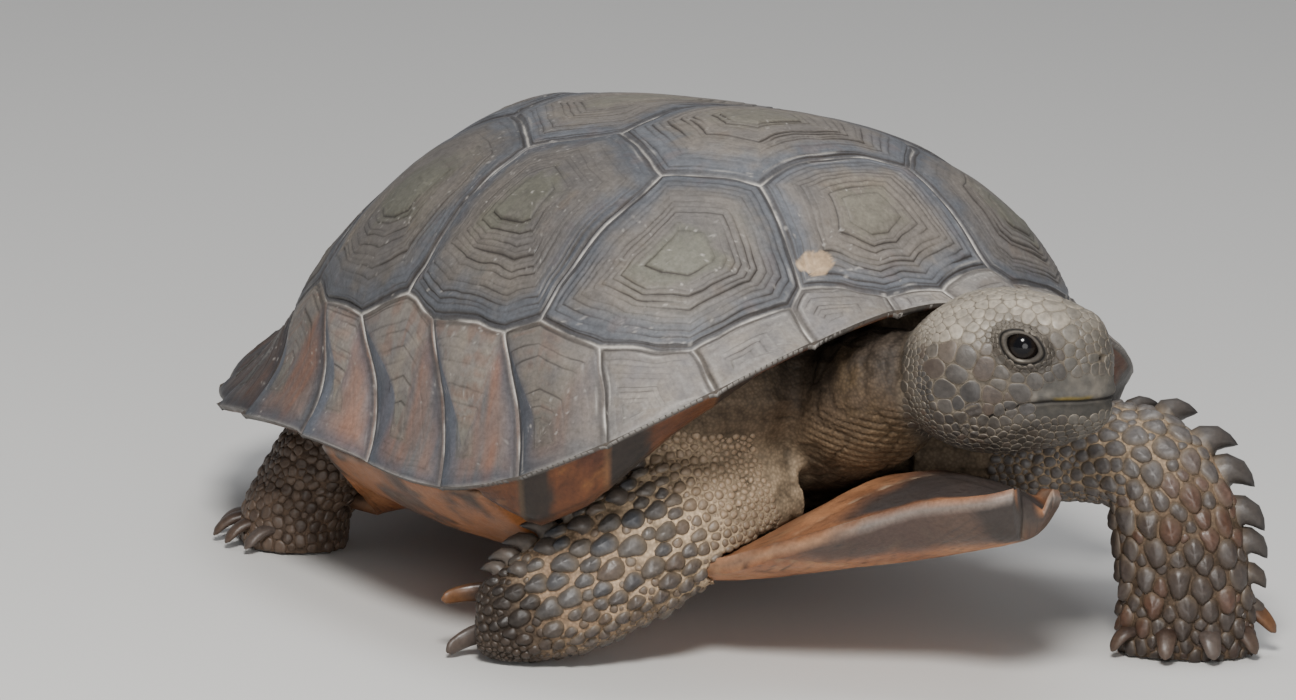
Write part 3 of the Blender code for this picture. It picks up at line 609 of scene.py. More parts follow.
        # brightness of each marginal: partly the scutes' own tone; the dark rear marginals 9 to 11 are partly painted
        # shade away from the front lamp
        if kind == "m":
            col = col * (0.78, 0.78, 0.80, 0.76, 1.02, 1.00, 1.30, 0.92, 0.46, 0.42, 0.42)[mk_ - 1]
    col = mix(col, GROOVE, np.clip(dark * 1.35, 0, 0.96) * (0.97 if kind in ("v", "c") else 0.80))
    edge_dark = np.exp(-((ds - 0.0012) / 0.0006) ** 2) * (0.55 + 0.5 * nz2)
    col = mix(col, GROOVE * 1.2, np.clip(edge_dark, 0, 0.85))
    sn = fbm(base, 0.009, 75, 3)
    seamw = np.exp(-(ds / np.clip(0.00032 + 0.00022 * sn, 0.00016, 0.0006)) ** 2) * np.clip(0.50 + 1.5 * sn, 0.16, 1)
    col = mix(col, GROOVE * 1.6, np.exp(-(ds / 0.0009) ** 2) * 0.55)
    col = mix(col, PALE * 0.95, seamw)
    second = np.exp(-((ds - 0.0024) / 0.00030) ** 2) * smooth(0.05, 0.5, fbm(base, 0.018, 76, 3)) * 0.6
    col = mix(col, PALE * 0.8, second)
    if kind in ("m", "n", "s"):
        er = np.exp(-((d / 0.0008) ** 2)) * onrim[None] * 0.60
        col = mix(col, PALE * 0.42, np.clip(er, 0, 0.6))
    flecks = smooth(0.50, 0.70, fbm(pn, 0.0013, 91, 2)) * smooth(-0.15, 0.3, fbm(pn, 0.02, 92, 2))
    col = mix(col, PALE * 0.85, 0.5 * flecks)
    col = col * (1 + 0.18 * nz[..., None] + 0.12 * nz2[..., None] + 0.14 * nz3[..., None])
    if name == "vertebral_1":
        pc = surf(np.array([0.776, -0.196]))
        dd = np.linalg.norm((base - pc) * np.array([1.35, 0.85, 1.35]), axis=-1) + 0.0020 * nz2 + 0.16 * (base[..., 1] - pc[1])
        chip = 1 - smooth(0.0045, 0.0052, dd)
        col = mix(col, CHIP * (0.85 + 0.3 * nz3[..., None]), chip)
    ccol = col[0].mean(0)
    cols = np.concatenate([[ccol], col.reshape(-1, 3), np.broadcast_to(GROOVE, (M, 3))])
    ob = new_mesh(name, place(to_world(verts)), quads, tris, cols)
    return ob


horn = None
pieces_horn = []
for i, (nm, edges, ar, kind) in enumerate(SCUTES):
    pieces_horn.append(scute_mesh(nm, edges, ar, kind, i))


# underside of the shell's edge, and the inside of the dome
def under_mesh():
    nphi = 480
    phi = np.linspace(0, 2 * math.pi, nphi, endpoint=False)
    a180 = np.abs(np.degrees(np.angle(np.exp(1j * phi))))
    drop = np.interp(a180, BUTTRESS[:, 0], BUTTRESS[:, 1])
    hold = np.clip(drop / 0.004, 0, 1)[:, None]
    radial = np.stack([np.cos(phi), np.sin(phi), 0 * phi], -1)
    rim_line = dome(phi, np.ones_like(phi)) + scallop(phi, np.ones_like(phi))

    def ring(rho, t):
        q = np.stack([rho * np.cos(phi), rho * np.sin(phi)], -1)
        p = surf(q) - surf_n(q) * t
        if rho in BUTTRESS_IN:
            line = rim_line - radial * BUTTRESS_IN[rho]
            line[:, 2] -= drop
            p = p * (1 - hold) + line * hold
        return p
    ctrl = [surf(np.stack([np.cos(phi), np.sin(phi)], -1))]
    ctrl += [ring(r, t) for r, t in UNDER]
    names = [1.0] + [r for r, _ in UNDER]
    per = [2, 9, 9, 6, 5, 3, 3, 2]
    rows, rho_of, fr_of = [], [], []
    for k in range(len(ctrl) - 1):
        for i in range(per[k]):
            f = i / per[k]
            p = ctrl[k] * (1 - f) + ctrl[k + 1] * f
            if k >= 1 and k < 3:
                # round the turn between the rings
                m = ctrl[max(k - 1, 1)], ctrl[k], ctrl[k + 1], ctrl[k + 2]
                p = 0.5 * ((2 * m[1]) + (m[2] - m[0]) * f + (2 * m[0] - 5 * m[1] + 4 * m[2] - m[3]) * f * f
                           + (3 * m[1] - m[0] - 3 * m[2] + m[3]) * f ** 3) if k > 1 else p
            rows.append(p)
            rho_of.append(names[k] * (1 - f) + names[k + 1] * f)
            fr_of.append(k + f)
    rows.append(ctrl[-1])
    rho_of.append(names[-1])
    fr_of.append(len(ctrl) - 1.0)
    edges = np.array((-6.0,) + RIM + (197.0,))
    i = np.clip(np.searchsorted(edges, a180) - 1, 0, len(edges) - 2)
    tt = (a180 - edges[i]) / (edges[i + 1] - edges[i])
    wmm = (edges[i + 1] - edges[i]) * 0.0021
    cols, out = [], []
    for p, rho, fr in zip(rows, rho_of, fr_of):
        nz = fbm(p, 0.012, 201, 3)
        nz2 = fbm(p, 0.004, 202, 2)
        nz3 = fbm(p * np.array([1, 1, 0.3]), 0.0016, 203, 2)
        seam = np.minimum(tt, 1 - tt) * wmm
        inn = np.linalg.norm(p - rim_line, axis=1)
        orange = mix((0.112, 0.038, 0.011), (0.048, 0.014, 0.006), 0.42 + 0.9 * nz)
        orange = mix(orange, (0.190, 0.082, 0.024), 0.5 * smooth(0.2, 0.6, nz2))
        # black where each marginal's rear corner turns under
        dk = smooth(0.56, 0.68, tt + 0.10 * nz2) * smooth(0.021, 0.015, inn + 0.003 * nz) * smooth(0.0, 0.0012, inn)
        dk = np.maximum(dk, 0.75 * smooth(0.0022, 0.0008, inn))
        c = mix(orange, (0.014, 0.011, 0.009), np.clip(dk, 0, 0.95))
        gl = ((inn * 1000 + 0.6 * nz2) / 3.1) % 1.0
        c = mix(c, c * 0.45, np.exp(-((gl - 0.5) / 0.09) ** 2) * 0.7 * smooth(0.002, 0.004, inn))
        c = c * (0.9 + 0.25 * nz3[:, None])
        c = mix(c, (0.15, 0.090, 0.042), 0.32 * np.exp(-(seam / 0.00030) ** 2))
        c = mix(c, (0.07, 0.045, 0.03), smooth(0.86, 0.76, rho + 0 * phi) * 0.9)
        if fr < 1.0:
            c = mix(c, PALE * 0.30, 0.5)
        p = p - np.array([0, 0, 1.0]) * (0.00035 * np.exp(-(seam / 0.0008) ** 2))[:, None] * (fr > 1.0)
        out.append(p)
        cols.append(c)
    R = len(out)
    v = np.concatenate(out + [surf(np.array([[0.0, 0.0]])) - np.array([[0, 0, 0.005]])])
    c = np.concatenate(cols + [np.array([[0.05, 0.03, 0.02]])])
    quads = grid_faces(R, nphi, True, 0)[:, ::-1]
    last = (R - 1) * nphi
    tris = np.stack([np.full(nphi, R * nphi), last + (np.arange(nphi) + 1) % nphi, last + np.arange(nphi)], -1)
    tris = tris[:, ::-1]
    return new_mesh("shell_underside", place(to_world(v)), quads, tris, c)


shell_under = under_mesh()
pieces_horn.append(shell_under)
# ------------------------------------------------------------------ plastron
PL_EDGE = np.array(((0.1775, 0.0095, 0.0362), (0.173, 0.0150, 0.0345), (0.163, 0.0195, 0.0325), (0.150, 0.0250, 0.0300),
                    (0.137, 0.0350, 0.0244), (0.124, 0.0435, 0.0190), (0.111, 0.0505, 0.0143), (0.098, 0.0560, 0.0095),
                    (0.084, 0.0590, 0.0065), (0.070, 0.0615, 0.0060), (0.062, 0.0690, 0.0080), (0.056, 0.0880, 0.0180),
                    (0.049, 0.1090, 0.0295), (0.020, 0.1130, 0.0310), (-0.015, 0.1105, 0.0325), (-0.043, 0.1045, 0.0330),
                    (-0.053, 0.0890, 0.0230), (-0.060, 0.0700, 0.0080), (-0.072, 0.0610, 0.0050), (-0.090, 0.0590, 0.0050),
                    (-0.112, 0.0540, 0.0080), (-0.131, 0.0420, 0.0115), (-0.142, 0.0270, 0.0140)))
PL_KEEL = np.array(((-0.15, 0.012), (-0.11, 0.006), (-0.06, 0.004), (-0.01, -0.001), (0.05, -0.003), (0.085, -0.002),
                    (0.108, 0.003), (0.124, 0.0062), (0.159, 0.0150), (0.18, 0.0215)))
PL_T, NOTCH, DROOP, ANAL = 0.0050, 0.0075, 0.0085, 0.012
SHELF = ((0.074, 0.0), (0.084, 0.0060), (0.098, 0.0150), (0.111, 0.0180), (0.124, 0.0160), (0.137, 0.0112),
         (0.150, 0.0060), (0.163, 0.0022), (0.173, 0.0))
# seams across the plastron: where they cross the middle, how they slope sideways, metres
PL_SEAMS = ((0.133, 0.42), (0.088, -0.12), (0.062, 0.02), (-0.050, -0.05), (-0.105, 0.25))


def plastron_mesh():
    car = frame["nodes"]["carapace"]
    cv, _ = mesh_arrays(car)
    cf = [tuple(p.vertices) for p in car.data.polygons]
    tree = BVHTree.FromPolygons([Vector(v) for v in cv], cf)
    per = 7
    nf = 81
    E = np.array([np.interp(np.arange(0, 22 + 1e-9, 1 / per), np.arange(23), PL_EDGE[:, k]) for k in range(3)]).T
    ker = np.ones(3) / 3
    for k in range(3):
        pad = np.concatenate([E[:1, k], E[:, k], E[-1:, k]])
        E[:, k] = np.convolve(pad, ker, "valid")
    side_ = np.sin(np.linspace(-math.pi / 2, math.pi / 2, nf))
    x, y, ze = E[:, 0:1], E[:, 1:2], E[:, 2:3]
    SD = side_[None, :]
    front = np.clip((x - 0.09) / 0.06, 0, 1)
    notch = NOTCH * np.clip((x - 0.158) / 0.019, 0, 1) ** 1.5
    anal = ANAL * np.clip((-0.125 - x) / 0.018, 0, 1) ** 1.5
    xs = x - notch * (1 - np.abs(SD)) ** 0.8 + anal * (1 - SD ** 2)
    xs = xs - 0.6 * notch * np.clip(SD, 0, 1)
    droop = DROOP * np.clip((x - 0.128) / 0.05, 0, 1) ** 1.3 * np.clip(SD + 0.25, 0, 1)
    zb = np.interp(xs, PL_KEEL[:, 0], PL_KEEL[:, 1])
    p = 4.0 - 1.6 * front
    bridge = np.clip((np.abs(y) - 0.075) / 0.03, 0, 1)
    thick = PL_T - 0.0012 * bridge
    zl = zb + (ze - thick - zb) * np.abs(SD) ** p - 0.35 * droop * np.abs(SD)
    zt = zl + thick
    zt = np.maximum(zt, zl + front * np.clip(ze - 0.002 - droop - zl, 0, 1) * (1 - 0.2 * (1 - SD ** 2)))
    rise = np.interp(x, [q[0] for q in SHELF], [q[1] for q in SHELF])
    zt = np.where(x > 0.078, np.maximum(zt, ze - 0.0010 - droop + rise * (1 - np.abs(SD) ** 1.7)), zt)
    yy = SD * y + 0 * xs
    # seams
    ds = np.full(xs.shape, 1.0)
    for x0, sl in PL_SEAMS:
        w = 0.0015 * vnoise(np.stack([xs, yy, 0 * xs], -1), 0.02, 301)
        ds = np.minimum(ds, np.abs(xs - (x0 - sl * np.abs(yy) + w)))
    mid = np.abs(yy - 0.0016 * vnoise(np.stack([xs, 0 * xs, 0 * xs], -1), 0.03, 302))
    ds = np.minimum(ds, mid)
    br = np.abs(np.abs(yy) - (0.081 + 0.004 * np.cos(xs * 60)))
    ds = np.minimum(ds, np.where(np.abs(yy) > 0.06, br, 1.0))
    pos = np.stack([xs, yy, 0 * xs], -1)
    nz = fbm(pos, 0.016, 311, 3)
    nz2 = fbm(pos, 0.005, 312, 3)
    gl = np.abs(((ds * 1000 + 0.9 * nz + 0.3 * nz2) / 2.3) % 1.0 - 0.5) * 2
    line = smooth(0.72, 0.95, gl) * smooth(0.0012, 0.003, ds) * (1 - smooth(0.013, 0.022, ds + 0.004 * nz)) * (0.6 + 0.5 * nz2)
    line = np.clip(line, 0, 1)
    h = -0.0009 * np.exp(-(ds / 0.0013) ** 2) - 0.00035 * line + 0.00015 * nz2
    zl = zl - h                                    # relief on the lower face
    flt = np.clip((front - 0.3) / 0.5, 0, 1)
    lobe = smooth(0.078, 0.086, x) + 0 * SD
    edge_d = (1 - np.abs(SD)) * y
    ridge = np.exp(-((edge_d - 0.0012) / 0.0012) ** 2) * lobe
    fd = np.abs(xs - (0.133 - 0.42 * np.abs(yy)))
    zt = zt + 0.0006 * ridge - 0.0006 * lobe * np.exp(-(mid / 0.0022) ** 2) - 0.0004 * lobe * np.exp(-(fd / 0.0012) ** 2)
    tl = np.abs(((edge_d * 1000 + 0.9 * nz) / 3.0) % 1.0 - 0.5) * 2
    tline = smooth(0.80, 0.97, tl) * smooth(0.003, 0.005, edge_d) * (0.5 + 0.6 * nz2) * lobe
    zt = zt - 0.0002 * tline + 0.00015 * nz2 * lobe
    for i in range(zt.shape[0]):
        for j in range(nf):
            w = place(to_world(np.array([xs[i, j], yy[i, j], zt[i, j]])))
            hit = tree.ray_cast(Vector((w[0], w[1], -0.01)), Vector((0, 0, 1)))
            if hit[0] is not None and w[2] > hit[0].z - 0.0008:
                dz = (hit[0].z - 0.0008 - w[2]) / S
                zt[i, j] += dz
                zl[i, j] = min(zl[i, j], zt[i, j] - 0.0026)
    # colours
    org = mix((0.430, 0.205, 0.100), (0.230, 0.086, 0.036), 0.5 + 0.9 * nz)
    org = mix(org, (0.40, 0.235, 0.125), smooth(0.2, 0.7, nz2) * 0.5)
    colL = mix(org, (0.012, 0.009, 0.007), line * 0.9)
    colL = mix(colL, (0.34, 0.22, 0.12), np.exp(-(ds / 0.0006) ** 2) * 0.8)
    colL = mix(colL, (0.022, 0.013, 0.009), np.exp(-(edge_d / 0.006) ** 2) * (0.45 + 0.5 * nz2) * (1 - 0.7 * lobe))
    slateL = smooth(0.112, 0.128, x + 0.010 * nz + 0 * SD) * smooth(0.0170, 0.0090, edge_d + 0.0030 * nz2 + 0.10 * np.maximum(0.150 - x, 0)) * smooth(0.0, 0.2, -SD)
    colL = mix(colL, (0.040, 0.036, 0.035), np.clip(slateL, 0, 1) * 0.85)
    tipd = smooth(0.163, 0.172, x + 0.004 * nz + 0 * SD)
    colL = mix(colL, (0.030, 0.025, 0.023), tipd * 0.8)
    brg = smooth(0.070, 0.084, np.abs(yy))
    colL = mix(colL, mix((0.245, 0.090, 0.028), (0.020, 0.014, 0.010), smooth(0.0, 0.35, nz + 0.5 * nz2)), brg * 0.8)
    colT = mix(org, (0.105, 0.052, 0.030), 0.30 + 0.5 * nz)
    slate = smooth(0.118, 0.138, x + 0.010 * nz) * smooth(0.0030, 0.0065, edge_d + 0.002 * nz2)
    colT = mix(colT, (0.036, 0.034, 0.034), np.clip(slate, 0, 1) * 0.95)
    colT = mix(colT, (0.020, 0.011, 0.008), tline * 0.7)
    colT = mix(colT, (0.30, 0.26, 0.22), ridge * np.clip(0.45 + 0.9 * nz2, 0, 1) * 0.75)
    colT = mix(colT, (0.42, 0.34, 0.24), np.exp(-(fd / 0.0006) ** 2) * np.clip(0.4 + nz2, 0, 1) * lobe)
    colT = np.where((x + 0 * SD)[..., None] > 0.080, colT, np.array([0.05, 0.03, 0.02]))
    low = np.stack([xs, yy, zl], -1)
    high = np.stack([xs, yy, zt], -1)
    # rounded edge between the faces
    R = low.shape[0]
    tang = np.gradient(np.stack([E[:, 0], E[:, 1]], -1), axis=0)
    nrm2 = unit(np.stack([-tang[:, 1], tang[:, 0]], -1))
    nrm2 = np.where(nrm2[:, 1:2] < 0, -nrm2, nrm2)
    bulge = 0.0009
    er = (low[:, -1] + high[:, -1]) / 2
    el = (low[:, 0] + high[:, 0]) / 2
    tk = np.minimum(1, (high[:, -1, 2] - low[:, -1, 2]) / 0.004)[:, None]
    er[:, :2] += nrm2 * bulge * tk
    el[:, 0] += nrm2[:, 0] * bulge * tk[:, 0]
    el[:, 1] -= nrm2[:, 1] * bulge * tk[:, 0]
    ring = np.concatenate([low, er[:, None], high[:, ::-1], el[:, None]], 1)
    colE = mix((0.27, 0.150, 0.085), (0.13, 0.075, 0.048), 0.5 + nz2[:, :1])
    colE = mix(colE, (0.140, 0.130, 0.122), (smooth(0.126, 0.142, E[:, 0:1] + 0.004 * nz[:, :1]) * 0.75))
    rcol = np.concatenate([colL, colE, colT[:, ::-1], colE], 1)
    n = ring.shape[1]
    v = ring.reshape(-1, 3)
    quads = [grid_faces(R, n, True, 0)]
    # caps, with a slightly proud middle row
    extra, ecol, caps = [], [], []
    cnt = len(v)
    for row, flip in ((0, False), (R - 1, True)):
        lo_i = row * n + np.arange(nf)
        hi_i = row * n + (2 * nf - np.arange(nf))
        midp = (v[lo_i] + v[hi_i]) / 2
        midp[:, 0] += (0.0010 if row == 0 else -0.0008) * (1 - np.abs(side_) ** 4)
        m_i = cnt + np.arange(nf)
        cnt += nf
        extra.append(midp)
        ecol.append(np.repeat([[0.045, 0.036, 0.031]] if row == 0 else [[0.08, 0.035, 0.017]], nf, 0) * (1 + 0.4 * nz2[row])[:, None])
        for a_, b_ in ((lo_i, m_i), (m_i, hi_i)):
            qd = np.stack([a_[:-1], a_[1:], b_[1:], b_[:-1]], -1)
            quads.append(qd if flip else qd[:, ::-1])
        e_r = row * n + nf
        e_l = row * n + 2 * nf + 1
        caps += [(lo_i[-1], e_r, m_i[-1]), (e_r, hi_i[-1], m_i[-1]), (lo_i[0], m_i[0], e_l), (e_l, m_i[0], hi_i[0])]
    v = np.concatenate([v] + extra)
    c = np.concatenate([rcol.reshape(-1, 3)] + ecol)
    ob = new_mesh("plastron_skin", place(to_world(v)), np.concatenate(quads), np.array(caps), c)
    bm = bmesh.new()
    bm.from_mesh(ob.data)
    bmesh.ops.recalc_face_normals(bm, faces=bm.faces)
    bm.to_mesh(ob.data)
    bm.free()
    return ob


plast = plastron_mesh()
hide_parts("plastron")
# ------------------------------------------------------------------ flesh: lengths of the head, neck and limbs
HEAD_AT = np.array([0.1202, -0.0074, 0.0966])
yaw, pit = math.radians(33.4), math.radians(6.0)
HX = np.array([math.cos(yaw) * math.cos(pit), math.sin(yaw) * math.cos(pit), math.sin(pit)])
HY = np.array([-math.sin(yaw), math.cos(yaw), 0.0])
HZ = np.cross(HX, HY)
HEAD_RINGS = np.array(((-1.5, 9.0, 5.5, -10.0, -2.0), (1.5, 15.0, 10.5, -16.0, -2.0), (6.0, 19.0, 15.0, -20.5, -2.0),
                       (12.0, 21.6, 19.2, -24.0, -2.5), (18.0, 22.6, 22.4, -26.0, -3.0), (24.0, 22.4, 23.6, -27.0, -3.5),
                       (30.0, 21.2, 24.2, -27.0, -3.5), (36.0, 19.6, 24.0, -26.6, -2.5), (42.0, 18.0, 23.2, -26.0, -2.0),
                       (48.0, 16.0, 21.8, -24.6, -2.0), (53.0, 13.8, 19.8, -23.0, -2.5), (58.0, 11.0, 17.4, -21.0, -3.0),
                       (61.5, 8.4, 14.4, -18.6, -3.0), (64.0, 5.0, 9.0, -13.5, -3.0), (65.0, 2.0, 3.5, -8.0, -3.0)))
EYE_AT, EYE_R = (41.0, 14.6, 9.0), 6.2
NECK = ((0.060, 0.000, 0.071, 0.0290, 0.0310), (0.082, -0.002, 0.076, 0.0260, 0.0290),
        (0.102, -0.006, 0.0835, 0.0225, 0.0245), (0.1150, -0.0075, 0.0905, 0.0180, 0.0205),
        (0.1245, -0.0060, 0.0940, 0.0140, 0.0160))
W_NF, W_FF, W_FF2, W_RR = (-0.46, -0.29, 0.84), (0.62, 0.78, 0.05), (0.50, 0.866, 0.0), (0.55, 0.82, 0.0)
LEG_FR = ((0.079, -0.024, 0.0560, 0.0180, 0.0140, W_NF), (0.0785, -0.044, 0.0500, 0.0205, 0.0150, W_NF),
          (0.0750, -0.063, 0.0410, 0.0215, 0.0145, W_NF), (0.0690, -0.079, 0.0305, 0.0208, 0.0138, W_NF),
          (0.0610, -0.0915, 0.0215, 0.0192, 0.0130, W_NF), (0.0530, -0.1015, 0.0150, 0.0160, 0.0118, W_NF),
          (0.0475, -0.1085, 0.0120, 0.0125, 0.0090, W_NF), (0.0450, -0.1115, 0.0115, 0.0080, 0.0055, W_NF))
LEG_FL = ((0.076, 0.034, 0.0560, 0.0150, 0.0160, (-0.5, 0.5, 0.7)), (0.095, 0.055, 0.0560, 0.0150, 0.0150, (-0.3, 0.5, 0.8)),
          (0.114, 0.072, 0.0600, 0.0160, 0.0145, (0.1, 0.75, 0.6)), (0.1300, 0.0820, 0.0590, 0.0180, 0.0145, (0.5, 0.78, 0.2)),
          (0.1385, 0.0860, 0.0490, 0.0195, 0.0145, W_FF), (0.1430, 0.0875, 0.0370, 0.0208, 0.0140, W_FF),
          (0.1450, 0.0890, 0.0230, 0.0210, 0.0142, W_FF), (0.1447, 0.0903, 0.0100, 0.0220, 0.0142, W_FF2),
          (0.1442, 0.0910, 0.0000, 0.0215, 0.0138, W_FF2), (0.1442, 0.0910, -0.0015, 0.0140, 0.0090, W_FF2))
LEG_RR = ((-0.078, -0.040, 0.0560, 0.0200, 0.0200, W_RR), (-0.090, -0.052, 0.0440, 0.0190, 0.0190, W_RR),
          (-0.0985, -0.061, 0.0300, 0.0172, 0.0176, W_RR), (-0.1040, -0.0655, 0.0180, 0.0168, 0.0176, W_RR),
          (-0.1065, -0.0675, 0.0090, 0.0182, 0.0185, W_RR), (-0.1070, -0.0680, 0.0000, 0.0180, 0.0184, W_RR),
          (-0.1070, -0.0680, -0.0015, 0.0120, 0.0120, W_RR))
REAR_LEFT_SHIFT = 0.030
TAIL = ((-0.138, 0.0, 0.042, 0.0110), (-0.153, 0.001, 0.0345, 0.0095), (-0.164, 0.003, 0.0265, 0.0070),
        (-0.171, 0.005, 0.0205, 0.0045), (-0.1745, 0.006, 0.0170, 0.0016))


def mirror_leg(st, dx):
    out = []
    for i, s in enumerate(st):
        k = min(1.0, i / (len(st) * 0.6))
        out.append((s[0] + dx * k, -s[1] - 0.006 * k, s[2], s[3], s[4], (s[5][0], -s[5][1], s[5][2])))
    return tuple(out)


LEG_RL = mirror_leg(LEG_RR, REAR_LEFT_SHIFT)


class Limb:
    """Centre line of a limb, to place things along and round it."""
    def __init__(self, stations, per=10):
        self.per = per
        self.c = spline([s[:3] for s in stations], per)
        self.ab = spline([s[3:5] for s in stations], per)
        w = unit(spline([s[5] for s in stations], per))
        self.tan = unit(np.gradient(self.c, axis=0))
        self.w = unit(w - self.tan * np.sum(w * self.tan, -1, keepdims=True))
        self.d = np.cross(self.tan, self.w)

    def coords(self, p):
        """station number, angle about the centre line, and distance in units of the limb's own radius."""
        t = np.empty(len(p))
        th = np.empty(len(p))
        rr = np.empty(len(p))
        for a in range(0, len(p), 20000):
            q = p[a:a + 20000]
            d2 = ((q[:, None, :] - self.c[None]) ** 2).sum(-1)
            i = d2.argmin(1)
            e = q - self.c[i]
            al = np.sum(e * self.tan[i], -1)
            u = np.sum(e * self.w[i], -1) / self.ab[i, 0]
            v = np.sum(e * self.d[i], -1) / self.ab[i, 1]
            t[a:a + 20000] = (i + np.clip(al / 0.002, -1, 1) * 0.5) / self.per
            th[a:a + 20000] = np.degrees(np.arctan2(v, u))
            over = np.where(((i == 0) & (al < 0)) | ((i == len(self.c) - 1) & (al > 0)), np.abs(al) / 0.01, 0)
            rr[a:a + 20000] = (np.abs(u) ** 2.3 + np.abs(v) ** 2.3) ** (1 / 2.3) + over
        return t, th, rr

    def direction(self, t):
        i = np.clip(np.round(np.asarray(t) * self.per).astype(int), 0, len(self.c) - 1)
        return self.tan[i]


LIMBS = {"front_right": Limb(LEG_FR), "front_left": Limb(LEG_FL), "rear_right": Limb(LEG_RR), "rear_left": Limb(LEG_RL)}
NECK_L = Limb([(x, y, z, a, b, (0, 0, 1)) for x, y, z, a, b in NECK])
TAIL_L = Limb([(x, y, z, r, r * 1.08, (0.3, 0, 0.95)) for x, y, z, r in TAIL])


def head_world(p):
    p = np.asarray(p, float) * 0.001
    return HEAD_AT + p[..., 0:1] * HX + p[..., 1:2] * HY + p[..., 2:3] * HZ


def to_head(u):
    """Own lengths in the model's frame, unscaled, to head millimetres."""
    d = (np.asarray(u, float) - HEAD_AT) * 1000
    return np.stack([d @ HX, d @ HY, d @ HZ], -1)


def unplace(p):
    return (np.asarray(p, float) - np.array([OX, OY, 0.0])) / S


def head_solid(seg=96, per=3):
    th = np.linspace(0, 2 * math.pi, seg, endpoint=False)
    ct, st = np.cos(th), np.sin(th)
    R = spline(HEAD_RINGS, per)
    rows = []
    for x, hw, zt, zb, zm in R:
        up = st > 0
        pw = np.where(up, 2.25, 2.0)
        k = (np.abs(ct) ** pw + np.abs(st) ** pw) ** (-1 / pw)
        y = hw * ct * k
        z = zm + np.where(up, zt - zm, zm - zb) * st * k
        rows.append(np.stack([np.full_like(y, x), y, z], -1))
    n = len(rows)
    v = np.concatenate(rows + [np.array([[HEAD_RINGS[0][0] - 0.6, 0, 0.0]]), np.array([[HEAD_RINGS[-1][0] + 0.4, 0, -2.5]])])
    q = [tuple(f) for f in grid_faces(n, seg, True, 0)]
    q += [(n * seg, (i + 1) % seg, i) for i in range(seg)]
    q += [(n * seg + 1, (n - 1) * seg + i, (n - 1) * seg + (i + 1) % seg) for i in range(seg)]
    return place(head_world(v)), q


def adjacency_smooth(co, edges, n_iter, lam=0.5, weight=None):
    """Even out the vertices over their neighbours, without much shrinking."""
    a, b = edges[:, 0], edges[:, 1]
    deg = np.bincount(a, minlength=len(co)) + np.bincount(b, minlength=len(co))
    deg = np.maximum(deg, 1)[:, None]
    for it in range(n_iter):
        for l_ in (lam, -lam * 1.04):
            s = np.zeros_like(co)
            for k in range(3):
                s[:, k] = np.bincount(a, weights=co[b, k], minlength=len(co)) + np.bincount(b, weights=co[a, k], minlength=len(co))
            dlt = (s / deg - co) * l_
            if weight is not None:
                dlt = dlt * weight[:, None]
            co = co + dlt
    return co


def edges_of(me):
    e = np.zeros(len(me.edges) * 2, np.int32)
    me.edges.foreach_get("vertices", e)
    return e.reshape(-1, 2)


FLESH = ["head", "neck", "trunk", "tail", "leg_front_right", "leg_front_left", "leg_rear_right", "leg_rear_left"]


def base_flesh():
    verts, faces, base = [], [], 0
    for nm in FLESH:
        if nm == "head":
            v, f = head_solid()
        else:
            o = frame["nodes"][nm]
            bm = bmesh.new()
            bm.from_mesh(o.data)
            bmesh.ops.remove_doubles(bm, verts=bm.verts, dist=1e-5)
            bm.normal_update()
            v = np.array([list(x.co + x.normal * 0.0004) for x in bm.verts])
            bm.verts.index_update()
            f = [tuple(x.index for x in p.verts) for p in bm.faces]
            bm.free()
        verts.append(v)
        faces += [tuple(i + base for i in p) for p in f]
        base += len(v)
    me = bpy.data.meshes.new("flesh")
    me.from_pydata(np.concatenate(verts).tolist(), [], faces)
    me.validate()
    ob = bpy.data.objects.new("flesh", me)
    bpy.context.scene.collection.objects.link(ob)
    md = ob.modifiers.new("remesh", "REMESH")
    md.mode = "VOXEL"
    md.voxel_size = 0.00125
    md.adaptivity = 0.0
    bpy.context.view_layer.update()
    dg = bpy.context.evaluated_depsgraph_get()
    m2 = bpy.data.meshes.new_from_object(ob.evaluated_get(dg))
    bpy.data.objects.remove(ob, do_unlink=True)
    m2.materials.clear()
    return m2


def eye_coords(ph, sy):
    """Forward, up and outward of an eye, in millimetres."""
    e = np.array([EYE_AT[0], sy * EYE_AT[1], EYE_AT[2]])
    o = unit(np.array([0.24, sy * 0.95, 0.16]))
    e1 = unit(np.array([1.0, 0, 0]) - o * o[0])
    e2 = np.cross(o, e1) * sy * -1
    if e2[2] < 0:
        e2 = -e2
    d = ph - e
    a, b = d @ e1, d @ e2
    c_, s_ = math.cos(math.radians(27)), math.sin(math.radians(27))
    a, b = a * c_ - b * s_, a * s_ + b * c_
    return a, b, d @ o, o


def eye_ratio(a, b):
    """How far out from the opening between the lids, which is 1 along its edge."""
    return ((np.abs(a) / 5.1) ** 1.75 + (np.abs(b) / np.where(b > 0, 3.15, 3.95)) ** 1.75) ** (1 / 1.75)


MOUTH = np.array([(28.0, -14.8), (31.5, -12.2), (36.0, -10.4), (42.0, -9.0), (49.0, -8.6), (57.0, -9.2), (66.0, -9.4)])


def mouth_dist(ph):
    """Signed distance from the mouth line, positive above it."""
    x, z = ph[:, 0], ph[:, 2]
    best = np.full(len(x), 99.0)
    for (x0, z0), (x1, z1) in zip(MOUTH[:-1], MOUTH[1:]):
        dx, dz = x1 - x0, z1 - z0
        t = np.clip(((x - x0) * dx + (z - z0) * dz) / (dx * dx + dz * dz), 0, 1)
        ex, ez = x - (x0 + t * dx), z - (z0 + t * dz)
        d = np.hypot(ex, ez) * np.where(dx * ez - dz * ex > 0, 1, -1)
        best = np.where(np.abs(d) < np.abs(best), d, best)
    return best


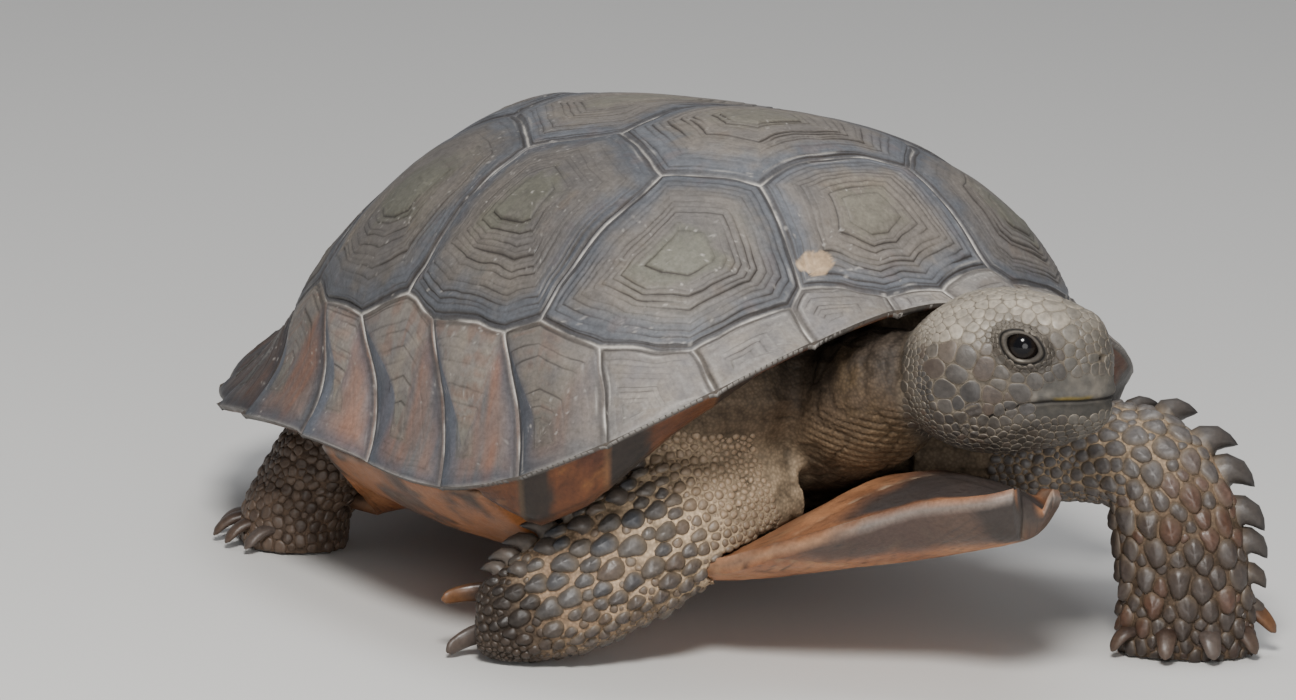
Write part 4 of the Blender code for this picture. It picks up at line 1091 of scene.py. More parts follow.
def build_skin():
    me = base_flesh()
    co = np.zeros(len(me.vertices) * 3, np.float32)
    me.vertices.foreach_get("co", co)
    co = co.reshape(-1, 3).astype(float)
    co = adjacency_smooth(co, edges_of(me), 10)
    me.vertices.foreach_set("co", co.astype(np.float32).ravel())
    me.update()
    # finer over the head and neck
    bm = bmesh.new()
    bm.from_mesh(me)
    for level in range(2):
        cv = np.array([f.calc_center_median()[:] for f in bm.faces])
        ph = to_head(unplace(cv))
        if level == 0:
            sel = (ph[:, 0] > -34) & (np.abs(ph[:, 1]) < 34) & (ph[:, 2] > -45)
        else:
            sel = (ph[:, 0] > 0) & (np.abs(ph[:, 1]) < 30) & (ph[:, 2] > -34) & (cv[:, 2] > 0.05)
        ed = set()
        bm.faces.ensure_lookup_table()
        for i in np.where(sel)[0]:
            for e in bm.faces[i].edges:
                ed.add(e)
        bmesh.ops.subdivide_edges(bm, edges=list(ed), cuts=1, use_grid_fill=True)
        bm.verts.ensure_lookup_table()
        co = np.array([v.co[:] for v in bm.verts])
        bm.verts.index_update()
        eg = np.array([(e.verts[0].index, e.verts[1].index) for e in bm.edges])
        ph = to_head(unplace(co))
        w = smooth(-36, -28, ph[:, 0]) if level == 0 else smooth(-2, 3, ph[:, 0])
        co = adjacency_smooth(co, eg, 3, 0.5, w)
        for v, c in zip(bm.verts, co):
            v.co = c
    bm.normal_update()
    bm.to_mesh(me)
    bm.free()
    me.update()
    n = len(me.vertices)
    co = np.zeros(n * 3, np.float32)
    no = np.zeros(n * 3, np.float32)
    me.vertices.foreach_get("co", co)
    me.vertices.foreach_get("normal", no)
    co, no = co.reshape(-1, 3).astype(float), no.reshape(-1, 3).astype(float)
    u = unplace(co)
    ph = to_head(u)
    hn = np.stack([no @ HX, no @ HY, no @ HZ], -1)
    on_head = smooth(-1, 4, ph[:, 0]) * (np.abs(ph[:, 1]) < 30) * (ph[:, 2] > -33) * (ph[:, 2] < 32)
    lim = {}
    for k, L in LIMBS.items():
        lim[k] = L.coords(u)
    nk = NECK_L.coords(u)
    tl = TAIL_L.coords(u)
    w_leg = {k: smooth(1.45, 1.12, lim[k][2]) * (1 - on_head) for k in lim}
    w_neck = smooth(1.5, 1.15, nk[2]) * (1 - on_head) * smooth(1.4, 2.0, nk[0])
    # ---- lie inside the solids by the coat's depth
    h = np.full(n, -0.0010)
    h += 0.00018 * fbm(co, 0.006, 401, 2)
    # painted shade: darkening for the creases, folds and grooves, gathered here and laid on the colour further down
    crease_shade = np.zeros(n)
    # neck: rings above, loose folds below
    ringc = np.sin(ph[:, 0] / 3.6 * math.pi + 2.2 * vnoise(co, 0.012, 402) + 0.8 * vnoise(co, 0.004, 403))
    low_side = smooth(2, -16, ph[:, 2])
    fold = np.sin((ph[:, 2] + 0.35 * ph[:, 0]) / 5.2 * 2 * math.pi + 2.0 * vnoise(co, 0.018, 404))
    nf_ = w_neck * smooth(1.2, 2.2, nk[0])
    back = smooth(14, 2, ph[:, 0]) * smooth(-8, -2, ph[:, 0]) * (np.abs(ph[:, 1]) < 30)
    amp = np.maximum(nf_, back * 0.7)
    f1 = ringc * (1 - low_side) * 0.00024
    f2 = (1 - np.abs(fold)) * low_side
    h += amp * (f1 - 0.0008 * f2 ** 3 + 0.0003 * low_side)
    crease_shade = np.maximum(crease_shade, amp * np.clip(-ringc, 0, 1) ** 2 * (1 - low_side) * 0.55)
    crease_shade = np.maximum(crease_shade, amp * f2 ** 3 * 0.7 * np.clip(0.7 + 1.2 * vnoise(co, 0.014, 405), 0, 1))
    # legs: creases where they bend, folds on the rear legs; creases over the rest of the body too
    for k in lim:
        t, th, rr = lim[k]
        cr = np.abs(vnoise(co * np.array([1, 1, 1.6]), 0.007, 410))
        crease = np.clip(1 - cr * 4.5, 0, 1) * w_leg[k]
        h -= 0.0005 * crease
        crease_shade = np.maximum(crease_shade, crease * 0.7)
        if k.startswith("rear"):
            zc = np.sin(co[:, 2] / 0.0036 * math.pi + 2.0 * vnoise(co, 0.012, 412))
            fl = np.clip(-zc, 0, 1) ** 2 * w_leg[k] * smooth(0.008, 0.016, co[:, 2])
            h -= 0.0005 * fl
            crease_shade = np.maximum(crease_shade, fl * 0.7)
    free = 1 - np.clip(on_head + sum(w_leg.values()), 0, 1)
    cr = np.clip(1 - np.abs(vnoise(co, 0.006, 413)) * 4, 0, 1) * free
    h -= 0.0004 * cr
    crease_shade = np.maximum(crease_shade, cr * 0.6)
    h *= (1 - 0.0 * on_head)
    co2 = co + no * (h * (1 - on_head) + on_head * (-0.0006 + 0.00015 * fbm(co, 0.004, 420, 2)))[:, None]
    # ---- head detail, in head millimetres
    ph2 = to_head(unplace(co2))
    add_n = np.zeros(n)
    headcol = np.zeros(n)
    md_ = mouth_dist(ph)
    hw = np.interp(ph[:, 0], HEAD_RINGS[:, 0], HEAD_RINGS[:, 1])
    side_w = smooth(0.55, 0.75, np.abs(ph[:, 1]) / np.maximum(hw, 1)) if False else np.ones(n)
    along = smooth(27.5, 30.5, ph[:, 0]) * on_head
    side_ok = (np.abs(ph[:, 1]) > 0.45 * hw) | (ph[:, 0] > 62)
    mw = along * side_ok
    groove = np.exp(-(md_ / 0.55) ** 2) * mw
    add_n -= 0.95 * groove
    add_n += 0.55 * mw * np.exp(-((md_ - 2.0) / 1.3) ** 2) * smooth(36, 46, ph[:, 0])
    add_n -= 0.45 * mw * np.exp(-((md_ + 1.8) / 1.4) ** 2)
    add_n += 0.5 * mw * np.exp(-((md_ + 6.0) / 2.2) ** 2)
    # painted shade along the mouth groove; the nostrils add to it below
    mouth_nostril_shade = groove
    # folds behind the mouth corner
    for k in range(3):
        dd = np.hypot(ph[:, 0] - 27.5, ph[:, 2] + 15) - (3.0 + 2.3 * k)
        w = (ph[:, 0] < 29) * (np.abs(ph[:, 1]) > 8) * (ph[:, 2] < -6) * (ph[:, 2] > -26) * on_head
        g = np.exp(-(dd / 0.6) ** 2) * w
        add_n -= 0.5 * g
        crease_shade = np.maximum(crease_shade, 0.6 * g)
    # nostrils
    for sy in (-1, 1):
        d = np.linalg.norm((ph - np.array([62.6, sy * 5.2, 3.4])) * np.array([0.6, 1.0, 1.15]), axis=1)
        g = np.exp(-(d / 1.05) ** 2)
        add_n -= 1.4 * g
        add_n += 0.45 * np.exp(-((d - 2.0) / 0.7) ** 2)
        mouth_nostril_shade = np.maximum(mouth_nostril_shade, smooth(0.35, 0.8, g))
    # brow, cheek and jaw muscle, ear drum
    for sy in (-1, 1):
        d = np.linalg.norm((ph - np.array([20.0, sy * 21, -5.0])) * np.array([0.8, 0.4, 1.0]), axis=1)
        add_n += (0.5 * np.exp(-((d - 5.6) / 1.5) ** 2) - 0.6 * np.exp(-(d / 3.8) ** 2)) * on_head
        d = np.linalg.norm((ph - np.array([33.0, sy * 9.5, -25.0])) * np.array([0.7, 1.0, 1.0]), axis=1)
        add_n += 1.0 * np.exp(-(d / 4.0) ** 2) * on_head
    # shallow dip between the brows
    add_n -= 0.9 * np.exp(-(ph[:, 1] / 4.5) ** 2) * smooth(30, 38, ph[:, 0]) * smooth(60, 50, ph[:, 0]) * (ph[:, 2] > 0)
    ph3 = ph2 + hn * (add_n * on_head)[:, None]
    lid = np.zeros(n)
    lid_crease_shade = np.zeros(n)
    lidrim = np.zeros(n)
    socket_shade = np.zeros(n)
    for sy in (-1, 1):
        a, b, al, o = eye_coords(ph3, sy)
        near = (al > -3.5) & (np.hypot(a, b) < 13) & (on_head > 0.5)
        r = eye_ratio(a, b)
        crest = 5.0 + 0.40 * np.exp(-((r - 1.16) / 0.12) ** 2) + 1.15 * smooth(-1, 3, b) * np.exp(-((r - 1.62) / 0.28) ** 2)
        w = smooth(1.22, 2.15, r)
        rings_ = 0.60 * np.exp(-((r - 1.42) / 0.07) ** 2) + 0.25 * np.exp(-((r - 1.76) / 0.06) ** 2) + 0.2 * np.exp(-((r - 2.0) / 0.06) ** 2)
        out = np.maximum(al, crest * (1 - w) + al * w) - rings_ * (r > 1.3)
        wall = 1.0 + (4.95 - 1.0) * smooth(0.90, 1.02, r)
        new = np.where(r < 1.02, np.minimum(wall, 5.2), out)
        new = np.where(near, new, al)
        ph3 = ph3 + (new - al)[:, None] * o
        lid = np.maximum(lid, near * np.maximum(np.exp(-((r - 1.12) / 0.16) ** 2), 0.7 * smooth(2.8, 1.9, r)))
        lid_crease_shade = np.maximum(lid_crease_shade, near * np.exp(-((r - 1.42) / 0.085) ** 2))
        lidrim = np.maximum(lidrim, near * np.exp(-((r - 1.13) / 0.06) ** 2) * (0.10 + 0.90 * smooth(0.8, -0.8, b)))
        socket_shade = np.maximum(socket_shade, near * (r < 0.97))
        crease_shade = np.maximum(crease_shade, near * rings_ / 0.25 * (r > 1.3) * 0.6)
    wh = on_head[:, None]
    co3 = co2 * (1 - wh) + place(head_world(ph3)) * wh
    # soles stay flat on the floor
    low = co3[:, 2] < 0.0009
    co3[:, 2] = np.maximum(co3[:, 2], 0.00035)
    me.vertices.foreach_set("co", co3.astype(np.float32).ravel())
    me.update()
    # ---- colours
    nz = fbm(co, 0.02, 431, 3)
    nz2 = fbm(co, 0.006, 432, 3)
    nz3 = fbm(co, 0.002, 433, 2)
    TRUNK = np.array([0.130, 0.092, 0.060])
    TANSK = np.array([0.450, 0.335, 0.220])
    col = mix(TRUNK, TRUNK * 0.6, 0.5 + nz2)
    for k, wl in w_leg.items():
        t, th, rr = lim[k]
        if k.startswith("front"):
            prox = mix(TANSK * 0.58, TANSK * 0.38, 0.5 + nz2)
            prox = mix(prox, TANSK, smooth(0.9, 1.7, t))
            dist_ = mix((0.360, 0.255, 0.165), (0.230, 0.152, 0.095), 0.5 + nz2)
            foot = mix((0.030, 0.021, 0.015), (0.055, 0.040, 0.029), 0.5 + nz2)
            tt = t if k == "front_right" else t * 0.8
            c = mix(prox, dist_, smooth(1.9, 3.4, tt))
            c = mix(c, foot, smooth(4.0, 5.2, tt + 0.3 * nz))
            if k == "front_left":
                c = mix(c, np.array([0.075, 0.050, 0.032]), 0.30 + 0.6 * smooth(3.4, 5.4, t))
        else:
            c = mix((0.120, 0.078, 0.052), (0.070, 0.046, 0.032), 0.5 + nz2)
        col = mix(col, c, wl)
    # neck colour darker in its upper part, lighter below: partly the skin's own tone, partly painted shade under the
    # shell's rim
    neckc = mix((0.060, 0.046, 0.035), (0.085, 0.057, 0.036), smooth(6, -14, ph[:, 2]) + 0.3 * nz)
    ochre = np.exp(-((ph[:, 0] + 0.45 * ph[:, 2] + 16) / 7.0) ** 2) * smooth(16, 4, ph[:, 2])
    neckc = mix(neckc, (0.110, 0.072, 0.036), 0.60 * ochre * smooth(-0.5, 0.2, nz2))
    # painted shade: the back of the neck darkened where it runs in under the shell's rim
    neckc = mix(neckc, (0.030, 0.021, 0.014), smooth(-8, -30, ph[:, 0]) * smooth(-16, 2, ph[:, 2]))
    neckc = mix(neckc, (0.150, 0.100, 0.058), 0.75 * smooth(-12, -24, ph[:, 2]))
    col = mix(col, neckc, np.clip(w_neck, 0, 1))
    headc = mix((0.120, 0.100, 0.076), (0.070, 0.057, 0.043), 0.5 + nz2)
    headc = mix(headc, (0.245, 0.215, 0.175), smooth(6, 18, ph[:, 2]) * 0.6)
    headc = mix(headc, (0.060, 0.050, 0.038), smooth(-8, -13, ph[:, 2]) * smooth(28, 34, ph[:, 0]))
    btop = np.interp(ph[:, 0], (36, 41, 46, 52, 60, 66), (0.0, 3.5, 7.6, 9.2, 9.6, 8.6))
    beak = np.maximum(smooth(6.4, 4.4, -md_) * (md_ <= 0) * smooth(36, 44, ph[:, 0]), smooth(1.2, -0.8, md_ - btop) * (md_ > 0) * smooth(35, 39, ph[:, 0]))
    bk = mix((0.118, 0.106, 0.090), (0.058, 0.055, 0.050), smooth(0.15, 0.85, 0.5 + 0.9 * nz2 + 0.35 * nz3))
    bk = mix(bk, bk * 0.52, smooth(0.5, -1.5, md_))
    headc = mix(headc, bk, beak * 0.92)
    stain = smooth(2.4, 1.2, md_ + 0.8 * nz2) * (md_ > 0.2) * smooth(44, 50, ph[:, 0]) * smooth(0.62, 0.40, np.abs(ph[:, 0] - 55) / 10)
    headc = mix(headc, mix((0.210, 0.150, 0.030), (0.110, 0.085, 0.030), 0.5 + nz2), np.clip(stain, 0, 1) * 0.9)
    headc = mix(headc, (0.150, 0.122, 0.090), np.exp(-((ph[:, 0] - 2) / 7) ** 2) * 0.4)
    col = mix(col, headc, on_head)
    col = mix(col, (0.042, 0.038, 0.034), lid * 0.90)
    # painted shade: a near-black ring in the crease round the lids
    col = mix(col, (0.012, 0.010, 0.009), lid_crease_shade * 0.88)
    col = mix(col, (0.250, 0.225, 0.190), lidrim * np.clip(0.40 + 1.2 * nz3, 0, 1) * 0.8)
    # painted shade: near black in the mouth groove and inside the nostrils
    col = mix(col, (0.012, 0.010, 0.009), np.clip(mouth_nostril_shade, 0, 1) * 0.9)
    # painted shade: the lining inside the lid opening, behind the eyeball, near black
    col = mix(col, (0.008, 0.007, 0.006), socket_shade)
    # painted shade: the skin darkened in its creases, neck folds and rings, and the grooves round the eyes
    col = mix(col, col * 0.28, np.clip(crease_shade, 0, 1))
    col = col * (1 + 0.14 * nz[:, None] + 0.12 * nz3[:, None])
    me.attributes.new("Col", "FLOAT_COLOR", "POINT")
    c4 = np.ones((n, 4), np.float32)
    c4[:, :3] = np.clip(col, 0, 1)
    me.attributes["Col"].data.foreach_set("color", c4.ravel())
    gr = np.clip(1 - on_head * smooth(30, 45, ph[:, 0]), 0.15, 1)
    me.attributes.new("Grain", "FLOAT", "POINT")
    me.attributes["Grain"].data.foreach_set("value", gr.astype(np.float32))
    me.polygons.foreach_set("use_smooth", np.ones(len(me.polygons), bool))
    ob = bpy.data.objects.new("skin", me)
    me.name = "skin"
    bpy.context.scene.collection.objects.link(ob)
    return ob


skin = build_skin()
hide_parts(*FLESH)
# ------------------------------------------------------------------ scales: solid plates over the skin
class SkinMap:
    def __init__(self, ob):
        me = ob.data
        self.co, self.no = mesh_arrays(ob)
        me.calc_loop_triangles()
        t = np.zeros(len(me.loop_triangles) * 3, np.int32)
        me.loop_triangles.foreach_get("vertices", t)
        self.tri = t.reshape(-1, 3)
        self.tree = BVHTree.FromPolygons([Vector(v) for v in self.co], [tuple(map(int, f)) for f in self.tri])
        a, b, c = (self.co[self.tri[:, k]] for k in range(3))
        self.area = np.linalg.norm(np.cross(b - a, c - a), axis=1) / 2
        self.fn = unit(self.no[self.tri].mean(1))

    def near(self, p):
        loc, n, i, d = self.tree.find_nearest(Vector(p))
        return np.array(loc), self.fn[i]


SM = SkinMap(skin)
SU = unplace(SM.co)
SPH = to_head(SU)


def scatter(mask, size, rng, fixed=(), spacing=0.86, low=0.66, spread=0.55):
    """Seeds over the masked part of the skin, that far apart for their size."""
    tm = mask[SM.tri].min(1) > 0.5
    ts = size[SM.tri].mean(1)
    w = SM.area * tm / ts ** 2
    if w.sum() <= 0:
        return np.zeros((0, 3)), np.zeros((0, 3)), np.zeros(0)
    n = int(w.sum() * 14)
    idx = rng.choice(len(w), n, p=w / w.sum())
    r1, r2 = np.sqrt(rng.random(n)), rng.random(n)
    T = SM.tri[idx]
    P = SM.co[T[:, 0]] * (1 - r1)[:, None] + SM.co[T[:, 1]] * (r1 * (1 - r2))[:, None] + SM.co[T[:, 2]] * (r1 * r2)[:, None]
    N = SM.fn[idx]
    Z = ts[idx] * (low + spread * rng.random(n))
    order = np.argsort(-Z * (0.85 + 0.3 * rng.random(n)))
    cell = float(Z.max()) if n else 0.01
    grid = {}
    out = []

    def fits(p, z):
        k = (int(p[0] // cell), int(p[1] // cell), int(p[2] // cell))
        for a in (-1, 0, 1):
            for b in (-1, 0, 1):
                for c in (-1, 0, 1):
                    for q, zq in grid.get((k[0] + a, k[1] + b, k[2] + c), ()):
                        d = spacing * 0.5 * (z + zq)
                        if (p[0] - q[0]) ** 2 + (p[1] - q[1]) ** 2 + (p[2] - q[2]) ** 2 < d * d:
                            return False
        return True

    def put(p, z):
        k = (int(p[0] // cell), int(p[1] // cell), int(p[2] // cell))
        grid.setdefault(k, []).append((p, z))
    for p, z in fixed:
        put(tuple(p), z)
    for i in order:
        p = tuple(P[i])
        if fits(p, Z[i]):
            put(p, Z[i])
            out.append(i)
    out = np.array(out, int)
    return P[out], N[out], Z[out]


NB = 16
ANG = np.linspace(0, 2 * math.pi, NB, endpoint=False)


def outline(p, n, z, e1, e2, others, oz, reach=0.66):
    """Star outline of a scale between its neighbours."""
    r = np.full(NB, z * reach)
    if len(others):
        d = others - p
        D = np.linalg.norm(d, axis=1)
        x, y = d @ e1, d @ e2
        ph = np.arctan2(y, x)
        half = D * z / (z + oz)
        c = np.cos(ANG[:, None] - ph[None])
        lim_ = np.where(c > 0.08, half[None] / np.maximum(c, 0.08), 1.0)
        r = np.minimum(r, lim_.min(1))
    rs = (np.roll(r, 1) + 2 * r + np.roll(r, -1)) / 4
    return np.minimum(rs, r * 1.04)


def coat(name, groups, uv_of, colour_of, slot_name):
    """groups: seeds (P, N, Z, dirs, kind, extra). Makes one joined mesh with an OFBake map."""
    allP = np.concatenate([g["P"] for g in groups])
    allZ = np.concatenate([g["Z"] for g in groups])
    from mathutils.kdtree import KDTree
    kd = KDTree(len(allP))
    for i, p in enumerate(allP):
        kd.insert(Vector(p), i)
    kd.balance()
    V, Q, T, C, UVc, base = [], [], [], [], [], 0
    off = 0
    for g in groups:
        for i in range(len(g["P"])):
            p, n, z = g["P"][i], g["N"][i], g["Z"][i]
            me_i = off + i
            dirv = g["dirs"][i]
            e1 = unit(dirv - n * np.dot(dirv, n))
            e2 = np.cross(n, e1)
            nb = [k for _, k, _ in kd.find_range(Vector(p), 1.7 * z + 0.002) if k != me_i]
            if nb:
                nb = np.array(nb)
                keepn = allZ[nb] > 0.3 * z
                nb = nb[keepn]
            kind = g["kind"]
            r = outline(p, n, z, e1, e2, allP[nb] if len(nb) else np.zeros((0, 3)), allZ[nb] if len(nb) else np.zeros(0), g.get("reach", 0.66))
            gap = g.get("gap", 0.00016) + g.get("gapz", 0.0) * z
            ct, st = np.cos(ANG), np.sin(ANG)
            r = np.maximum(r - gap, 0.25 * z)
            rnd = RNG.random(4)
            if kind == "plate":
                fr = np.array([1.0, 0.965, 0.90, 0.74, 0.38])
                h = g["h"](z) * (0.8 + 0.4 * rnd[0])
                hh = np.array([-0.00025, 0.40 * h, 0.80 * h, h, h * 1.12])
                H = np.repeat(hh[:, None], NB, 1)
                hc = h * 1.2
                rad = fr[:, None] * r[None]
                shift = np.zeros((5, NB, 3))
            elif kind == "point":
                fr = np.array([1.0, 0.92, 0.72, 0.45, 0.20])
                h = g["h"](z) * (0.75 + 0.5 * rnd[0])
                big = float(smooth(0.0022, 0.0042, z))
                ext = 1 + big * (g.get("ext", 0.22) * np.clip(ct, 0, 1) ** 5 - 0.10 * np.abs(st) ** 3 * (ct > -0.5))
                r = r * ext
                rad = fr[:, None] * r[None]
                Y = rad * st[None]
                lean = g.get("lean", 0.16) * z * big
                X = rad * ct[None] + lean * (1 - fr[:, None]) ** 0.8
                prof = np.array([0.0, 0.34, 0.74, 0.95, 1.0])[:, None]
                fall = 1 - g.get("tilt", 0.35) * big * np.clip(-ct, 0, 1) * fr[:, None] ** 0.8
                keel = g.get("keel", 0.25) * h * big * np.exp(-(Y / (0.09 * z)) ** 2) * np.array([0, 0.4, 0.9, 1.0, 0.8])[:, None]
                H = h * prof * fall + keel
                H[0] = -0.00030
                hc = 0
                leanX = X
            elif kind == "spur":
                L = g["L"][i]
                fr = np.array([1.0, 0.94, 0.78, 0.56, 0.28])
                rad = np.ones((5, 1)) * (np.full(NB, 0.5 * z))[None]
                H = np.zeros((5, NB))
                hc = L
                leanX = None
            X = rad * ct[None]
            Y = rad * st[None]
            if kind == "point":
                X = leanX
            pts = p + X[..., None] * e1 + Y[..., None] * e2
            out = np.empty_like(pts)
            if kind == "spur":
                lean_ = math.radians(g["bend"][i])
                sv = np.array([0.0, 0.20, 0.46, 0.72, 0.91, 1.0])
                cpos = p - e1 * 0.18 * z - n * 0.0006
                prev_s = 0.0
                for a in range(6):
                    for sub in np.linspace(prev_s, sv[a], 5)[1:]:
                        phi_ = lean_ * float(smooth(-0.10, 0.75, sub))
                        cpos = cpos + (n * math.cos(phi_) + e1 * math.sin(phi_)) * L * (sv[a] - prev_s) / 4
                    prev_s = sv[a]
                    phi_ = lean_ * float(smooth(-0.10, 0.75, sv[a]))
                    m_ = e1 * math.cos(phi_) - n * math.sin(phi_)
                    if a == 5:
                        centre = cpos
                        break
                    wa = (1 - sv[a] ** 1.7) ** 0.75
                    wb = (1 - sv[a] ** 1.25) ** 0.85
                    for b in range(NB):
                        if a == 0:
                            q, nq = SM.near(p + X[0, b] * 1.05 * e1 - 0.12 * z * e1 + Y[0, b] * 1.02 * e2)
                            out[a, b] = q - nq * 0.0005
                        else:
                            out[a, b] = cpos + X[a, b] * wb * 0.92 * m_ + Y[a, b] * wa * e2
            else:
                for a in (0, 2, 4):
                    for b in range(NB):
                        q, nq = SM.near(pts[a, b])
                        nn = unit(0.55 * nq + 0.45 * n)
                        out[a, b] = q + nn * H[a, b]
                        if a == 0:
                            out[1, b] = q + nn * H[1, b]
                        elif a == 2:
                            pass
                for b in range(NB):
                    s_ = (fr[3] - fr[4]) / (fr[2] - fr[4])
                    q = out[4, b] * (1 - s_) + out[2, b] * s_
                    nn = n
                    Hlin = H[4, b] * (1 - s_) + H[2, b] * s_
                    out[3, b] = q + nn * (H[3, b] - Hlin)
                if kind == "plate":
                    q, nq = SM.near(p)
                    centre = q + nq * hc
                else:
                    centre = out[4].mean(0) + n * 0.02 * H[4].mean()
            v = np.concatenate([out.reshape(-1, 3), [centre]])
            V.append(v)
            Q.append(grid_faces(5, NB, True, base))
            last = base + 4 * NB
            T.append(np.stack([np.full(NB, base + 5 * NB), last + np.arange(NB), last + (np.arange(NB) + 1) % NB], -1))
            fq = np.concatenate([np.repeat(fr, NB), [0.0]])
            cosq = np.concatenate([np.tile(ct, 5), [0.0]])
            C.append(colour_of(p, n, z, g, i, fq, cosq, v, RNG))
            cu = np.array(uv_of(p))
            loc = np.concatenate([np.stack([X / z, Y / z], -1).reshape(-1, 2), [[0, 0]]])
            UVc.append(cu[None] + np.clip(loc, -0.7, 0.7) * 0.0021)
            base += len(v)
        off += len(g["P"])
    V = np.concatenate(V)
    V[:, 2] = np.maximum(V[:, 2], 0.0002)
    ob = new_mesh(name, V, np.concatenate(Q), np.concatenate(T), np.concatenate(C))
    uvv = np.concatenate(UVc)
    me = ob.data
    lay = me.uv_layers.new(name="OFBake")
    li = np.zeros(len(me.loops), np.int32)
    me.loops.foreach_get("vertex_index", li)
    lay.data.foreach_set("uv", uvv[li].astype(np.float32).ravel())
    return ob


COATS = []
TAN_EDGE = np.array([0.235, 0.190, 0.135])


def const_dirs(P, v):
    return np.repeat(np.asarray(v, float)[None], len(P), 0)


# ---- head
on_head_v = (SPH[:, 0] > 3.2) & (np.abs(SPH[:, 1]) < 26) & (SPH[:, 2] > -30) & (SPH[:, 2] < 28) & (SPH[:, 0] < 67)
eye_r = np.full(len(SPH), 9.0)
for sy in (-1, 1):
    a_, b_, al_, o_ = eye_coords(SPH, sy)
    rr_ = eye_ratio(a_, b_)
    eye_r = np.minimum(eye_r, np.where(al_ > -4, rr_, 9))
mdv = mouth_dist(SPH)
x_, y_, z_ = SPH[:, 0], SPH[:, 1], SPH[:, 2]
hs = np.full(len(SPH), 4.0)
temple = np.exp(-(((x_ - 22) / 14) ** 2 + ((z_ - 2) / 11) ** 2)) * (np.abs(y_) > 10)
hs = hs + 2.6 * temple
hs = np.where((z_ > 13) & (x_ > 12), 4.6, hs)
hs = hs + 1.0 * (x_ > 48) * (z_ > 9)
hs = np.where(x_ < 13, np.minimum(hs, 2.8 + 0.0 * x_), hs)
hs = np.where((z_ > 9) & (x_ > 8) & (x_ < 40), np.minimum(hs, 3.4), hs)
hs = hs - 2.6 * np.exp(-((eye_r - 1.7) / 0.80) ** 2)
hs = hs - 1.2 * np.exp(-((x_ - 10) / 5.0) ** 2)
hs = np.where((z_ < -13) & (x_ < 30), np.minimum(hs, 2.6), hs)
hs = np.where((z_ < -17) | ((mdv < -4.0) & (x_ > 25)), np.minimum(hs, 2.4), hs)
hs = np.where((x_ > 56) & (mdv > 0), np.minimum(hs, 2.6), hs)
hs = np.where((np.abs(mdv) < 4.5) & (x_ > 27), np.minimum(hs, 3.0), hs)
hs = np.maximum(hs, 1.3) * 0.001 * S
beak_top = np.interp(x_, (36, 41, 46, 52, 60, 66), (0.0, 3.5, 7.6, 9.2, 9.6, 8.6))
hmask = on_head_v & (eye_r > 1.64) & ~((np.abs(mdv) < 1.1) & (x_ > 26)) & ~((np.abs(mdv) < 5.4) & (x_ > 43))
hmask &= ~((mdv > 0) & (mdv < beak_top) & (x_ > 36))
for sy in (-1, 1):
    hmask &= np.linalg.norm(SPH - np.array([62.6, sy * 5.2, 3.4]), axis=1) > 2.4
hmask = hmask.astype(float)
rng_h = np.random.default_rng(21)
P, N, Z = scatter(hmask, hs, rng_h, spacing=0.83)


def head_uv(p):
    h_ = to_head(unplace(np.asarray(p)))
    return (0.02 + 0.96 * (math.atan2(h_[1], h_[2] + 3.0) / (2 * math.pi) + 0.5), 0.02 + 0.96 * np.clip((h_[0] + 5) / 75, 0, 1))


def head_colour(p, n, z, g, i, f, cosq, v, rng):
    h_ = to_head(unplace(np.asarray(p)))
    k = rng.random(3)
    top = float(smooth(4, 16, h_[2]))
    base = mix((0.066, 0.055, 0.047), (0.250, 0.218, 0.174), 0.08 + 0.86 * top + 0.26 * (k[0] - 0.5))
    base = mix(base, (0.056, 0.053, 0.053), 0.6 * k[1] * (1 - top))
    base = mix(base, (0.105, 0.068, 0.046), 0.5 * float(smooth(0.72, 0.95, k[2])) * (1 - top))
    base = base * (1 - 0.40 * float(smooth(44, 54, h_[0])) * (1 - 0.5 * top))
    if h_[2] < -12 and h_[0] > 26:
        base = mix(base, (0.060, 0.050, 0.040), 0.6)
    if h_[0] < 9:
        base = mix(base, (0.105, 0.090, 0.072), 0.6)
    edge = mix((0.240, 0.205, 0.160), (0.17, 0.138, 0.102), k[2])
    base, edge = base * (0.64 + 0.42 * top), edge * (0.98 + 0.10 * top)
    ea, eb_, _, _ = eye_coords(h_[None], -1 if h_[1] < 0 else 1)
    round_eye = float(smooth(2.9, 2.0, eye_ratio(ea, eb_)[0]))
    base, edge = mix(base, (0.070, 0.061, 0.051), 0.70 * round_eye), mix(edge, (0.110, 0.096, 0.080), 0.6 * round_eye)
    if h_[0] > 54:
        base = mix(base, (0.105, 0.095, 0.080), 0.5)
    c = mix(np.repeat(base[None], len(f), 0), edge, smooth(0.88, 0.985, f) * (0.80 - 0.25 * top))
    c = mix(c, c * 0.78, smooth(0.45, 0.0, f) * (z > 0.003))
    c = c * (1 + 0.32 * fbm(v, 0.0010, 501, 2)[:, None] + 0.26 * fbm(v, 0.0035, 502, 2)[:, None])
    return c


coat_head = coat("coat_head", [dict(P=P, N=N, Z=Z, dirs=const_dirs(P, -HX), kind="plate", gap=0.00004, gapz=0.006,
                                    reach=0.95, h=lambda z: 0.00016 + 0.026 * z)], head_uv, head_colour, "skin_head")
COATS.append((coat_head, "skin_head"))

# ---- legs


